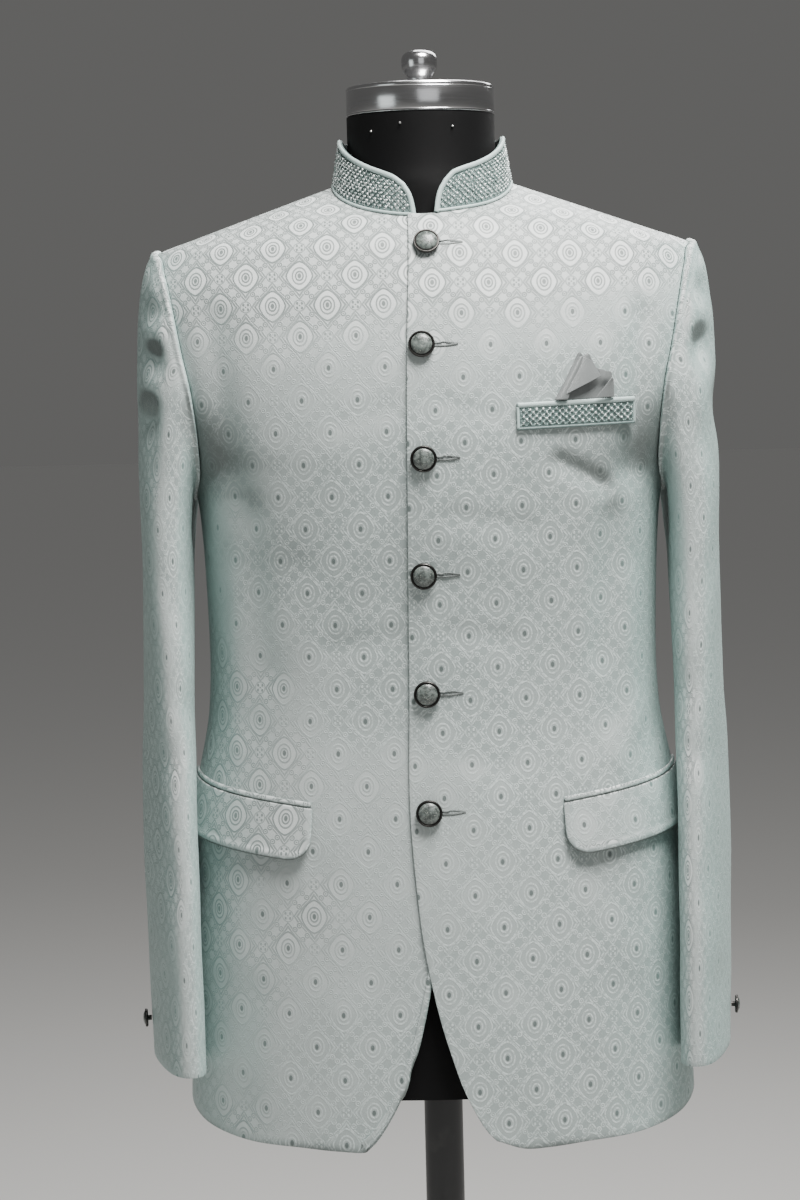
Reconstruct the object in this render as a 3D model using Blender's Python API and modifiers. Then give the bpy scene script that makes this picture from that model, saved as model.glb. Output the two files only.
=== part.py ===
import functools
import math

import bpy
from mathutils import Vector

# A bandhgala jacket on a limbless dress form. Metres, +Z up. The origin is the centre of the
# stand's underside. The garment faces -Y, so the wearer's left is +X.
# A wearer's-left piece is worked out at +X, and the same piece on the right is its mirror image.

# Cloth and seams
WALL = 0.002
COLLAR_WALL = 0.0024
SEAM_GAP = 0.0003
LAP_LIFT = 0.0028  # how far the left front stands out where it laps over the right one
LAP_FULL_X = 0.022
LAP_END_X = 0.075

# Rows and columns of cloth cells
SIDE_ROWS = 9
ARMHOLE_ROWS = 9
ROW_CROWDING = 0.5  # 0 spaces the rows beside the armhole evenly, 1 closes the last one up
FRONT_NECK_COLUMNS = 7
BACK_NECK_COLUMNS = 5
SHOULDER_COLUMNS = 5
COLLAR_ROWS = 3
SLEEVE_HEAD_ROWS = 6
SLEEVE_ARM_ROWS = 9
GIRTH_STEP = 5  # degrees between the points that lengths round a section are added up over

# Torso of the jacket, one level section a row. Squareness pushes the corners of the oval out.
# Beside the armholes the ovals run on past the seams, to where nothing is cut from them.
TORSO_COLUMNS = ("z", "half_width", "front", "back", "squareness")
TORSO = (
    (0.660, 0.2095, 0.1320, 0.1260, 0.030),
    (0.750, 0.2080, 0.1300, 0.1250, 0.030),
    (0.850, 0.2050, 0.1260, 0.1220, 0.030),
    (0.950, 0.1995, 0.1190, 0.1130, 0.030),
    (1.020, 0.1870, 0.1140, 0.1010, 0.030),
    (1.100, 0.1860, 0.1170, 0.1030, 0.030),
    (1.180, 0.1905, 0.1240, 0.1100, 0.030),
    (1.216, 0.1970, 0.1265, 0.1130, 0.029),
    (1.243, 0.2080, 0.1275, 0.1140, 0.028),
    (1.280, 0.2245, 0.1260, 0.1140, 0.024),
    (1.315, 0.2345, 0.1222, 0.1125, 0.020),
    (1.352, 0.2415, 0.1135, 0.1075, 0.013),
    (1.376, 0.2380, 0.1040, 0.1030, 0.006),
    (1.393, 0.2260, 0.0965, 0.0990, 0.001),
    (1.400, 0.2175, 0.0930, 0.0970, 0.000),
    (1.410, 0.1894, 0.0860, 0.0935, 0.000),
    (1.422, 0.1556, 0.0750, 0.0885, 0.000),
    (1.430, 0.1331, 0.0585, 0.0840, 0.000),
    (1.4356, 0.1174, 0.0480, 0.0800, 0.000),
    (1.445, 0.0909, 0.0340, 0.0720, 0.000),
    (1.448, 0.0825, 0.0295, 0.0665, 0.000),
    (1.451, 0.0740, 0.0250, 0.0630, 0.000),
)

# Neck seam: an oval in plan that rises from the front neck to the side neck point
NECK_HALF_WIDTH = 0.0740
NECK_FRONT_Z = 1.422
NECK_SIDE_Z = 1.451
NECK_BACK_Z = 1.445

# Armhole, from the shoulder tip down to the side seam
SIDE_SEAM_ANGLE = 95.0
ARMHOLE_COLUMNS = ("front_angle", "back_angle", "z")
ARMHOLE = (
    (90.0, 90.0, 1.400),
    (72.0, 107.0, 1.393),
    (61.5, 117.5, 1.376),
    (56.5, 122.5, 1.352),
    (55.0, 125.0, 1.315),
    (55.0, 125.0, 1.280),
    (60.5, 120.0, 1.243),
    (69.0, 112.0, 1.216),
    (81.0, 103.0, 1.201),
    (SIDE_SEAM_ANGLE, SIDE_SEAM_ANGLE, 1.195),
)

# Front edges from the neck to the middle of the cutaway's rounding, and the hem from there back
FRONT_EDGE_COLUMNS = ("z", "left_x", "right_x")
FRONT_EDGE = (
    (1.422, -0.0126, 0.0100),
    (1.390, -0.0130, 0.0100),
    (1.300, -0.0165, 0.0100),
    (1.180, -0.0185, 0.0100),
    (1.040, -0.0205, 0.0090),
    (0.950, -0.0220, 0.0060),
    (0.865, -0.0160, -0.0050),
    (0.824, -0.0100, -0.0105),
    (0.786, -0.0020, -0.0190),
    (0.755, 0.0070, -0.0280),
    (0.729, 0.0160, -0.0380),
    (0.700, 0.0310, -0.0560),
    (0.690, 0.0400, -0.0665),
)
CHEST_SPLIT_Z = 1.150  # the front edge's level beside the underarm
# The hem's points: angle round from the front, and z
HEM = (
    (15.5, 0.6825),
    (21.0, 0.6825),
    (30.0, 0.6845),
    (45.0, 0.6860),
    (62.0, 0.6915),
    (80.0, 0.6990),
    (SIDE_SEAM_ANGLE, 0.7020),
)
BACK_HEM_Z = 0.6950

# Stand collar: the rounded front end and the height of the band behind it
COLLAR_GAP_CENTRE_X = 0.0013
COLLAR_LEAN = 0.0065
COLLAR_END_COLUMNS = ("x", "height")
COLLAR_END = (
    (0.0076, 0.0),
    (0.0096, 0.0110),
    (0.0125, 0.0195),
    (0.0170, 0.0265),
)
COLLAR_BACK_HEIGHT = 0.0400
# The band's top behind its rounded end: turn round the neck, and height
COLLAR_TOP = (
    (22.0, 0.0325),
    (42.0, 0.0360),
    (66.0, 0.0380),
    (90.0, 0.0385),
    (180.0, COLLAR_BACK_HEIGHT),
)

# Sleeve below the underarm, one level section a row. Turn swings the oval's back end outward.
SLEEVE_COLUMNS = ("z", "centre_x", "centre_y", "half_thick", "half_depth", "turn")
SLEEVE = (
    (1.130, 0.2180, -0.006, 0.0212, 0.0730, 5.0),
    (1.020, 0.2195, -0.019, 0.0190, 0.0690, 11.0),
    (0.940, 0.2195, -0.035, 0.0174, 0.0655, 15.0),
    (0.850, 0.2170, -0.051, 0.0168, 0.0620, 16.0),
    (0.742, 0.2135, -0.064, 0.0165, 0.0580, 16.0),
)
SLEEVE_SQUARENESS = 0.04
SLEEVE_GAP = 0.0008
SLEEVE_START_REACH = 0.32  # how far the head runs out before it bends down, of its length
SLEEVE_END_REACH = 0.90
SLEEVE_HEAD_RISE = 0.25
SLEEVE_HEAD_SPREAD = 0.60

# Largest folds of the sleeves: soft hollows around the sleeve head
DENT_COLUMNS = ("turn", "z", "half_turn", "half_height", "depth")
LEFT_DENTS = (
    (28.0, 1.368, 26.0, 0.020, 0.0040),
    (24.0, 1.318, 30.0, 0.021, 0.0050),
    (4.0, 1.270, 60.0, 0.022, 0.0065),
    (70.0, 1.235, 30.0, 0.022, 0.0030),
)
RIGHT_DENTS = (
    (20.0, 1.364, 26.0, 0.018, 0.0045),
    (28.0, 1.321, 30.0, 0.021, 0.0060),
    (18.0, 1.274, 34.0, 0.022, 0.0060),
    (62.0, 1.230, 30.0, 0.024, 0.0030),
)

# Hip pockets: a jet, and a flap that hangs from it
POCKET_INNER_X = 0.1000
POCKET_INNER_Z = 0.9520
POCKET_RISE = 0.117  # for each metre along the cloth
POCKET_LENGTH = 0.150
JET_HEIGHT = 0.0047
JET_WALL = 0.0016
POCKET_GAP = 0.0006
FLAP_HEIGHT = 0.0420
FLAP_CORNER = 0.0200
FLAP_LIFT = 0.0016  # how far the flap's lower edge stands off the cloth
FLAP_COLUMNS = 9
FLAP_ROWS = 3

# Breast welt and the square that stands in it
WELT_INNER_X = 0.0690
WELT_OUTER_X = 0.1640
WELT_TOP_Z = 1.2705
WELT_RISE = 0.0030
WELT_HEIGHT = 0.0215
WELT_COLUMNS = 8
SQUARE_WALL = 0.0012
SQUARE_ROWS = 3
SQUARE_COLUMNS = ("base_x", "tip_x", "tip_z", "base_out", "tip_out")
SQUARE = (
    (0.1000, 0.1180, 1.3070, 0.0018, 0.0020),
    (0.1040, 0.1205, 1.3090, 0.0050, 0.0052),
    (0.1085, 0.1225, 1.3060, 0.0022, 0.0030),
    (0.1155, 0.1272, 1.3080, 0.0068, 0.0056),
    (0.1235, 0.1325, 1.2970, 0.0030, 0.0028),
    (0.1310, 0.1400, 1.2940, 0.0062, 0.0060),
    (0.1390, 0.1445, 1.2930, 0.0075, 0.0068),
    (0.1455, 0.1464, 1.2800, 0.0020, 0.0020),
)

# Buttons down the front, from the top. Sink is how far the flat cells lie under the curve there.
BUTTON_COLUMNS = ("x", "z", "sink")
BUTTONS = (
    (0.0015, 1.3980, 0.00074),
    (-0.0045, 1.3180, 0.00045),
    (-0.0050, 1.2290, 0.00005),
    (-0.0070, 1.1365, 0.0),
    (-0.0065, 1.0420, -0.00020),
    (-0.0070, 0.9480, 0.00010),
)
BUTTON_RADIUS = 0.0106
# A button's outline, radius and height over its shank: domed stone, metal rim, back
BUTTON_OUTLINE = (
    (0.0, 0.0058),
    (0.0049, 0.0054),
    (0.0089, 0.0032),
    (0.0101, 0.0032),
    (BUTTON_RADIUS, 0.0016),
    (0.0085, 0.0),
)
BUTTON_SHANK_RADIUS = 0.0030
BUTTON_SHANK_HEIGHT = 0.0012
BUTTON_STEPS = 16
CUFF_BUTTON_RADIUS = 0.0074
CUFF_BUTTON_SHANK_HEIGHT = 0.0030
CUFF_BUTTON_Z = 0.769
CUFF_BUTTON_TURN = -38.0

# Dress form and stand
FORM_BOTTOM_Z = 0.720
FORM_LEVELS = (
    0.720, 0.790, 0.860, 0.940, 1.020, 1.100, 1.180, 1.240, 1.290,
    1.330, 1.360, 1.382, 1.398, 1.408, 1.418, 1.428, 1.438, 1.447,
)
FORM_SHOULDER_X = 0.185  # past here the form's end rounds off inside the armhole
FORM_SHOULDER_LOW_Z = 1.225  # and above here
FORM_SHOULDER_SHRINK = 0.15
FORM_CLEARANCE_COLUMNS = ("z", "clearance")
FORM_CLEARANCE = (
    (0.720, 0.0110),
    (1.020, 0.0095),
    (1.240, 0.0080),
    (1.345, 0.0065),
    (1.398, 0.0061),
    (1.418, 0.0057),
    (1.451, 0.0055),
)
FORM_SIDES = 32
NECK_FLARE_COLUMNS = ("z", "radius")
NECK_FLARE = (
    (1.300, 0.0690),
    (1.398, 0.0680),
    (1.420, 0.0655),
    (1.438, 0.0646),
    (1.450, 0.0642),
    (1.462, 0.0624),
    (1.480, 0.0615),
    (1.5077, 0.0615),
)
NECK_CURVE_Z = 1.450  # from here up the neck stands free of the shoulders

# Turned pieces of the stand, from their tops down: radius and z
CAP_OUTLINE = (
    (0.0, 1.5330),
    (0.0585, 1.5330),
    (0.0615, 1.5310),
    (0.0615, 1.5090),
    (0.0605, 1.5080),
    (0.0, 1.5080),
)
KNOB_OUTLINE = (
    (0.0, 1.5630),
    (0.0090, 1.5624),
    (0.0142, 1.5595),
    (0.0150, 1.5545),
    (0.0140, 1.5480),
    (0.0100, 1.5410),
    (0.0100, 1.5363),
    (0.0150, 1.5333),
    (0.0, 1.5333),
)
BASE_OUTLINE = (
    (0.0, 0.0140),
    (0.1630, 0.0140),
    (0.1720, 0.0110),
    (0.1750, 0.0070),
    (0.1750, 0.0),
    (0.0, 0.0),
)
POLE_RADIUS = 0.016
ROUND_STEPS = 32


# Smooth curves through short tables

def smooth(knots, values, at):
    """The value at a place between knots, on a cubic whose slope at a knot comes from its neighbours."""
    at = min(max(at, knots[0]), knots[-1])
    last = len(knots) - 1
    i = max(j for j in range(last) if knots[j] <= at)

    def slope(j):
        low, high = max(j - 1, 0), min(j + 1, last)
        return (values[high] - values[low]) / (knots[high] - knots[low])

    span = knots[i + 1] - knots[i]
    u = (at - knots[i]) / span
    return (
        values[i] * (2 * u**3 - 3 * u**2 + 1)
        + slope(i) * span * (u**3 - 2 * u**2 + u)
        + values[i + 1] * (3 * u**2 - 2 * u**3)
        + slope(i + 1) * span * (u**3 - u**2)
    )


def column(rows, names, name):
    return [row[names.index(name)] for row in rows]


def look_up(rows, names, key, name, at):
    """A table's column read smoothly at a value of its key column."""
    pairs = sorted(zip(column(rows, names, key), column(rows, names, name)))
    return smooth([pair[0] for pair in pairs], [pair[1] for pair in pairs], at)


def along(points, t, place):
    """The point at fraction t of a smooth curve, by the lengths between the places of its points."""
    knots = [0.0]
    for before, after in zip(points, points[1:]):
        knots.append(knots[-1] + (place(*after) - place(*before)).length)
    at = t * knots[-1]
    return Vector([smooth(knots, [point[axis] for point in points], at) for axis in (0, 1)])


def records(rows, names):
    return [dict(zip(names, row)) for row in rows]


def lerp(a, b, t):
    return a + (b - a) * t


def soft_step(t):
    t = min(max(t, 0.0), 1.0)
    return t * t * (3 - 2 * t)


def coons(bottom, top, left, right, s, t):
    """A point inside four edges, each a function of its own fraction."""
    ruled = lerp(bottom(s), top(s), t) + lerp(left(t), right(t), s)
    corners = lerp(lerp(bottom(0.0), bottom(1.0), s), lerp(top(0.0), top(1.0), s), t)
    return ruled - corners


# The torso's surface, by angle round from the front (degrees, towards +X) and height

def torso_size(name, z):
    return look_up(TORSO, TORSO_COLUMNS, "z", name, z)


def oval(half_width, depth, squareness, angle):
    x = half_width * (math.sin(angle) + squareness * math.sin(3 * angle))
    y = -depth * (math.cos(angle) - squareness * math.cos(3 * angle))
    return x / (1 - squareness), y / (1 - squareness)


def torso_point(degrees, z):
    angle = math.radians(degrees)
    depth = torso_size("front" if math.cos(angle) > 0 else "back", z)
    x, y = oval(torso_size("half_width", z), depth, torso_size("squareness", z), angle)
    return Vector((x, y, z))


def torso_normal(degrees, z):
    round_it = torso_point(degrees + 0.5, z) - torso_point(degrees - 0.5, z)
    low, high = max(z - 0.001, TORSO[0][0]), min(z + 0.001, TORSO[-1][0])
    up_it = torso_point(degrees, high) - torso_point(degrees, low)
    return round_it.cross(up_it).normalized()


def off_torso(degrees, z, out):
    return torso_point(degrees, z) + torso_normal(degrees, z) * out


def angle_at(x, z):
    """The angle of the point of the front at this x and height."""
    low, high = -90.0, 90.0
    for _ in range(40):
        middle = (low + high) / 2
        if torso_point(middle, z).x < x:
            low = middle
        else:
            high = middle
    return (low + high) / 2


@functools.lru_cache(maxsize=None)
def girth_table(z):
    """Lengths round a level section from the centre front to the centre back, every few degrees."""
    lengths = [0.0]
    for k in range(180 // GIRTH_STEP):
        step = torso_point((k + 1) * GIRTH_STEP, z) - torso_point(k * GIRTH_STEP, z)
        lengths.append(lengths[-1] + step.length)
    return lengths


def girth_at(degrees, z):
    """The length round the section from the centre front to an angle."""
    lengths = girth_table(z)
    place = abs(degrees) / GIRTH_STEP
    k = min(int(place), len(lengths) - 2)
    return math.copysign(lerp(lengths[k], lengths[k + 1], place - k), degrees)


def angle_for(girth, z):
    """The angle at a length round the section from the centre front."""
    lengths = girth_table(z)
    k = 0
    while k < len(lengths) - 2 and lengths[k + 1] < abs(girth):
        k += 1
    share = (abs(girth) - lengths[k]) / (lengths[k + 1] - lengths[k])
    return math.copysign((k + share) * GIRTH_STEP, girth)


def laid_flat(edge, centre):
    """An edge by its length from the centre line, as the cutter lays the panel out, and height."""
    def flat(t):
        place = edge(t)
        return Vector((girth_at(place.x, place.y) - girth_at(centre, place.y), place.y))

    return flat


def lap_out(x):
    """How far the left front stands out of the torso's surface near its edge."""
    return LAP_LIFT * (1 - soft_step((x - LAP_FULL_X) / (LAP_END_X - LAP_FULL_X)))


# Walls of cloth between an outer and an inner grid of points

def split_cell(points, cell):
    """Two triangles on a cell's shorter diagonal, so that both faces of a wall fold alike."""
    spots = [points[index] for index in cell]
    if (spots[0] - spots[2]).length > (spots[1] - spots[3]).length:
        cell = cell[1:] + cell[:1]
    return [[cell[0], cell[1], cell[2]], [cell[0], cell[2], cell[3]]]


def wall_object(name, outer, inner, material, ring=False):
    """A closed wall. Each grid is rows of points. In a ring the rows close on themselves."""
    rows, columns = len(outer), len(outer[0])
    points = [point for grid in (outer, inner) for row in grid for point in row]
    steps = columns if ring else columns - 1

    def corner(side, i, j):
        return side * rows * columns + i * columns + j % columns

    faces = []
    for i in range(rows - 1):
        for j in range(steps):
            places = ((i, j), (i, j + 1), (i + 1, j + 1), (i + 1, j))
            halves = split_cell(points, [corner(0, *place) for place in places])
            faces += halves
            faces += [[index + rows * columns for index in reversed(half)] for half in halves]
    for j in range(steps):
        faces.append([corner(0, 0, j + 1), corner(0, 0, j), corner(1, 0, j), corner(1, 0, j + 1)])
        far = rows - 1
        faces.append([corner(0, far, j), corner(0, far, j + 1), corner(1, far, j + 1), corner(1, far, j)])
    if not ring:
        for i in range(rows - 1):
            faces.append([corner(0, i, 0), corner(0, i + 1, 0), corner(1, i + 1, 0), corner(1, i, 0)])
            far = columns - 1
            faces.append([
                corner(0, i + 1, far), corner(0, i, far), corner(1, i, far), corner(1, i + 1, far),
            ])
    return mesh_object(name, points, faces, material)


def mesh_object(name, points, faces, material):
    mesh = bpy.data.meshes.new(name)
    mesh.from_pydata([tuple(point) for point in points], [], faces)
    mesh.update()
    mesh.shade_smooth()
    mesh.set_sharp_from_angle(angle=math.radians(40))
    mesh.materials.append(material)
    made = bpy.data.objects.new(name, mesh)
    parts.objects.link(made)
    return made


def mirrored(grid):
    """The grid on the wearer's right, with its columns turned round so that it still faces out."""
    return [[Vector((-point.x, point.y, point.z)) for point in reversed(row)] for row in grid]


def draw_in(grid, gap, sides):
    """Draws the named edges of a grid in by a seam's half gap."""
    for row in grid:
        if "first_column" in sides:
            row[0] = row[0] + (row[1] - row[0]).normalized() * gap
        if "last_column" in sides:
            row[-1] = row[-1] + (row[-2] - row[-1]).normalized() * gap
    if "last_row" in sides:
        grid[-1] = [a + (b - a).normalized() * gap for a, b in zip(grid[-1], grid[-2])]
    return grid


# Fronts and backs

def neck_seam(turn):
    """Angle and height of the neck seam at a turn round its oval, 0 at the front and 180 behind."""
    rise = 1 - math.cos(math.radians(turn))
    if rise < 1:
        z = lerp(NECK_FRONT_Z, NECK_SIDE_Z, rise)
    else:
        z = lerp(NECK_SIDE_Z, NECK_BACK_Z, rise - 1)
    x = NECK_HALF_WIDTH * math.sin(math.radians(abs(turn)))
    angle = math.degrees(math.asin(min(x / torso_size("half_width", z), 1.0)))
    return Vector((math.copysign(angle if rise < 1 else 180 - angle, turn), z))


def crowded(t):
    """A fraction whose even steps get closer towards 1, where the cloth bends over the shoulder."""
    return t + ROW_CROWDING * (t - t * t)


def armhole(edge, t):
    """The armhole from the side seam (0) to the shoulder tip (1)."""
    angles = column(ARMHOLE, ARMHOLE_COLUMNS, edge)
    heights = column(ARMHOLE, ARMHOLE_COLUMNS, "z")
    return along(list(zip(angles, heights))[::-1], crowded(t), torso_point)


def front_edge_x(edge, z):
    return look_up(FRONT_EDGE, FRONT_EDGE_COLUMNS, "z", edge, z)


def side_row(t, low, split, high):
    """A height up an edge, whose split stands at the row of the underarm."""
    share = SIDE_ROWS / (SIDE_ROWS + ARMHOLE_ROWS)
    if t < share:
        return lerp(low, split, t / share)
    return lerp(split, high, crowded((t - share) / (1 - share)))


def seam_side(t, hem_z, edge):
    """Side seam and then the armhole, as one edge of a panel."""
    share = SIDE_ROWS / (SIDE_ROWS + ARMHOLE_ROWS)
    if t < share:
        return Vector((SIDE_SEAM_ANGLE, lerp(hem_z, ARMHOLE[-1][2], t / share)))
    return armhole(edge, (t - share) / (1 - share))


def neck_and_shoulder(s, neck_columns, start_turn):
    """Neck seam from its start to the side neck point, and then the shoulder seam to its tip."""
    share = neck_columns / (neck_columns + SHOULDER_COLUMNS)
    if s < share:
        return neck_seam(lerp(start_turn, 90.0, s / share))
    return Vector((90.0, lerp(NECK_SIDE_Z, ARMHOLE[0][2], (s - share) / (1 - share))))


def front_frame(edge, sign):
    """The four edges of a front, by length round and height. Sign mirrors the right front to +X."""
    def x_at(z):
        return sign * front_edge_x(edge, z)

    start_turn = math.degrees(math.asin(x_at(NECK_FRONT_Z) / NECK_HALF_WIDTH))
    corner_z = FRONT_EDGE[-1][0]
    corner = (angle_at(x_at(corner_z), corner_z), corner_z)

    def top(s):
        return neck_and_shoulder(s, FRONT_NECK_COLUMNS, start_turn)

    def left(t):
        z = side_row(t, corner_z, CHEST_SPLIT_Z, top(0.0).y)
        return Vector((angle_at(x_at(z), z), z))

    def right(t):
        return seam_side(t, HEM[-1][1], "front_angle")

    def bottom(s):
        return along([corner, *HEM], s, torso_point)

    return [laid_flat(edge, 0.0) for edge in (bottom, top, left, right)]


def back_frame():
    """The four edges of a back, from the centre back seam to the side."""
    def top(s):
        return neck_and_shoulder(s, BACK_NECK_COLUMNS, 180.0)

    def left(t):
        return Vector((180.0, side_row(t, BACK_HEM_Z, CHEST_SPLIT_Z, NECK_BACK_Z)))

    def right(t):
        return seam_side(t, HEM[-1][1], "back_angle")

    def bottom(s):
        return Vector((lerp(180.0, SIDE_SEAM_ANGLE, s), lerp(BACK_HEM_Z, HEM[-1][1], s)))

    return [laid_flat(edge, 180.0) for edge in (bottom, top, left, right)]


def panel_grids(edges, centre, columns, lap):
    """The outer and inner points of a panel. Lap gives how far it stands out at each x."""
    rows = SIDE_ROWS + ARMHOLE_ROWS
    outer, inner = [], []
    for i in range(rows + 1):
        outer.append([])
        inner.append([])
        for j in range(columns + 1):
            flat = coons(*edges, j / columns, i / rows)
            angle = angle_for(flat.x + girth_at(centre, flat.y), flat.y)
            out = lap(torso_point(angle, flat.y).x)
            outer[-1].append(off_torso(angle, flat.y, out))
            inner[-1].append(off_torso(angle, flat.y, out - WALL))
    return outer, inner


def build_fronts(cloth):
    columns = FRONT_NECK_COLUMNS + SHOULDER_COLUMNS
    seams = ("last_column", "last_row")
    for name, edge, sign, lap in (
        ("front_left", "left_x", 1, lap_out),
        ("front_right", "right_x", -1, lambda x: 0.0),
    ):
        grids = panel_grids(front_frame(edge, sign), 0.0, columns, lap)
        grids = [draw_in(grid, SEAM_GAP / 2, seams) for grid in grids]
        if sign < 0:
            grids = [mirrored(grid) for grid in grids]
        wall_object(name, *grids, cloth)


def build_backs(cloth):
    columns = BACK_NECK_COLUMNS + SHOULDER_COLUMNS
    seams = ("first_column", "last_column", "last_row")
    grids = panel_grids(back_frame(), 180.0, columns, lambda x: 0.0)
    grids = [draw_in(grid, SEAM_GAP / 2, seams) for grid in grids]
    left = [[list(reversed(row)) for row in grid] for grid in grids]
    wall_object("back_left", *left, cloth)
    wall_object("back_right", *[mirrored(grid) for grid in left], cloth)


# Sleeves

def sleeve_size(name, z):
    return look_up(SLEEVE, SLEEVE_COLUMNS, "z", name, z)


def sleeve_section(turn, z):
    """A point of a level section: turn 0 is outward, 90 to the front, 180 to the body."""
    angle = math.radians(turn)
    depth, thick = oval(
        sleeve_size("half_depth", z), sleeve_size("half_thick", z), SLEEVE_SQUARENESS, angle
    )
    swing = math.radians(sleeve_size("turn", z))
    x = -thick * math.cos(swing) - depth * math.sin(swing)
    y = thick * math.sin(swing) - depth * math.cos(swing)
    return Vector((sleeve_size("centre_x", z) + x, sleeve_size("centre_y", z) + y, z))


def armhole_ring(turn):
    """The armhole seam as a ring: turn 0 is the shoulder tip, 180 the underarm."""
    if turn <= 180:
        place = armhole("front_angle", 1 - turn / 180)
    else:
        place = armhole("back_angle", turn / 180 - 1)
    return torso_point(place.x, place.y)


def sleeve_place(turn, row):
    """A point of the sleeve's outer surface before its folds."""
    turn = turn % 360
    if row > SLEEVE_HEAD_ROWS:
        share = (row - SLEEVE_HEAD_ROWS) / SLEEVE_ARM_ROWS
        return sleeve_section(turn, lerp(SLEEVE[0][0], SLEEVE[-1][0], share))
    angle = math.radians(turn)
    start, end = armhole_ring(turn), sleeve_section(turn, SLEEVE[0][0])
    length = (end - start).length
    out = Vector((
        1.0,
        -SLEEVE_HEAD_SPREAD * math.sin(angle),
        SLEEVE_HEAD_RISE * math.cos(angle),
    )).normalized()
    down = (sleeve_section(turn, SLEEVE[0][0] - 0.01) - end).normalized()
    start = start + out * SLEEVE_GAP
    v = row / SLEEVE_HEAD_ROWS
    return (
        start * (2 * v**3 - 3 * v**2 + 1)
        + out * (length * SLEEVE_START_REACH * (v**3 - 2 * v**2 + v))
        + end * (3 * v**2 - 2 * v**3)
        + down * (length * SLEEVE_END_REACH * (v**3 - v**2))
    )


def sleeve_normal(turn, row):
    last = SLEEVE_HEAD_ROWS + SLEEVE_ARM_ROWS
    round_it = sleeve_place(turn + 1, row) - sleeve_place(turn - 1, row)
    low, high = max(row - 0.02, 0.0), min(row + 0.02, last)
    down_it = sleeve_place(turn, high) - sleeve_place(turn, low)
    return round_it.cross(down_it).normalized()


def dent_depth(dents, turn, z):
    total = 0.0
    for dent in records(dents, DENT_COLUMNS):
        away = (turn - dent["turn"] + 180) % 360 - 180
        round_share = away / dent["half_turn"]
        height_share = (z - dent["z"]) / dent["half_height"]
        total += dent["depth"] * math.exp(-round_share**2 - height_share**2)
    return total


def sleeve_point(turn, row, depth, dents):
    place = sleeve_place(turn, row)
    if row == 0:
        # At the armhole the wall runs in towards the middle of the seam, so that it meets the panels' edge.
        middle = (armhole_ring(0) + armhole_ring(90) + armhole_ring(180) + armhole_ring(270)) / 4
        inward = middle - place
        inward.x = 0.0
        return place + inward.normalized() * depth
    return place - sleeve_normal(turn, row) * (depth + dent_depth(dents, turn, place.z))


def build_sleeves(cloth):
    sides = 2 * ARMHOLE_ROWS
    rows = SLEEVE_HEAD_ROWS + SLEEVE_ARM_ROWS
    for name, sign, dents in (("sleeve_left", 1, LEFT_DENTS), ("sleeve_right", -1, RIGHT_DENTS)):
        grids = []
        for depth in (0.0, WALL):
            grids.append([
                [sleeve_point(360 * j / sides, i, depth, dents) for j in range(sides)]
                for i in range(rows + 1)
            ])
        if sign < 0:
            grids = [mirrored(grid) for grid in grids]
        wall_object(name, *grids, cloth, ring=True)


# Collar

def collar_base(turn, sign):
    """A point of the neck seam as the collar meets it, on the lapped front at the left."""
    seam = neck_seam(turn)
    x = torso_point(seam.x, seam.y).x
    lift = lap_out(x) if sign > 0 and abs(turn) < 90 else 0.0
    return off_torso(seam.x, seam.y, lift)


def collar_point(turn, height, depth, sign):
    base = collar_base(turn, sign)
    inward = Vector((-math.sin(math.radians(turn)), math.cos(math.radians(turn)), 0.0))
    lean = COLLAR_LEAN * height / COLLAR_BACK_HEIGHT
    return base + inward * (lean + depth) + Vector((0.0, 0.0, SEAM_GAP + height))


def collar_frame(sign):
    shift = sign * COLLAR_GAP_CENTRE_X

    def end_turn(x):
        return math.degrees(math.asin((x + shift) / NECK_HALF_WIDTH))

    front_share = FRONT_NECK_COLUMNS / (FRONT_NECK_COLUMNS + BACK_NECK_COLUMNS)
    end_points = [
        (end_turn(point["x"]), point["height"]) for point in records(COLLAR_END, COLLAR_END_COLUMNS)
    ]
    start = end_points[0][0]
    top_points = [end_points[-1], *COLLAR_TOP]

    def on_band(turn, height):
        return Vector((math.radians(turn) * NECK_HALF_WIDTH, height))

    def base(s):
        if s < front_share:
            return Vector((lerp(start, 90.0, s / front_share), 0.0))
        return Vector((lerp(90.0, 180.0, (s - front_share) / (1 - front_share)), 0.0))

    def top(s):
        return along(top_points, s, on_band)

    def end(t):
        return along(end_points, t, on_band)

    def behind(t):
        return Vector((180.0, COLLAR_BACK_HEIGHT * t))

    return base, top, end, behind


def build_collars(cloth):
    columns = FRONT_NECK_COLUMNS + BACK_NECK_COLUMNS
    for name, sign in (("collar_left", 1), ("collar_right", -1)):
        edges = collar_frame(sign)
        grids = []
        for depth in (0.0, COLLAR_WALL):
            grid = []
            for i in range(COLLAR_ROWS + 1):
                places = [coons(*edges, j / columns, i / COLLAR_ROWS) for j in range(columns + 1)]
                grid.append([collar_point(place.x, place.y, depth, sign) for place in places])
            grids.append(draw_in(grid, SEAM_GAP / 2, ("last_column",)))
        if sign < 0:
            grids = [mirrored(grid) for grid in grids]
        wall_object(name, *grids, cloth)


# Pockets

def patch_object(name, grid, wall, material):
    """A piece that lies on a panel: an open sheet of points, thickened outward."""
    points = [point for row in grid for point in row]
    width = len(grid[0])
    faces = [
        [i * width + j, i * width + j + 1, (i + 1) * width + j + 1, (i + 1) * width + j]
        for i in range(len(grid) - 1)
        for j in range(width - 1)
    ]
    made = mesh_object(name, points, faces, material)
    thick = made.modifiers.new("cloth thickness", "SOLIDIFY")
    thick.thickness = wall
    thick.offset = 1.0
    return made


def pocket_place(distance, drop, out):
    """A point of the hip pocket, by its distance along the mouth and its drop below it."""
    z = POCKET_INNER_Z + POCKET_RISE * distance - drop
    start = girth_at(angle_at(POCKET_INNER_X, POCKET_INNER_Z), POCKET_INNER_Z)
    return off_torso(angle_for(start + distance, POCKET_INNER_Z), z, out)


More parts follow.
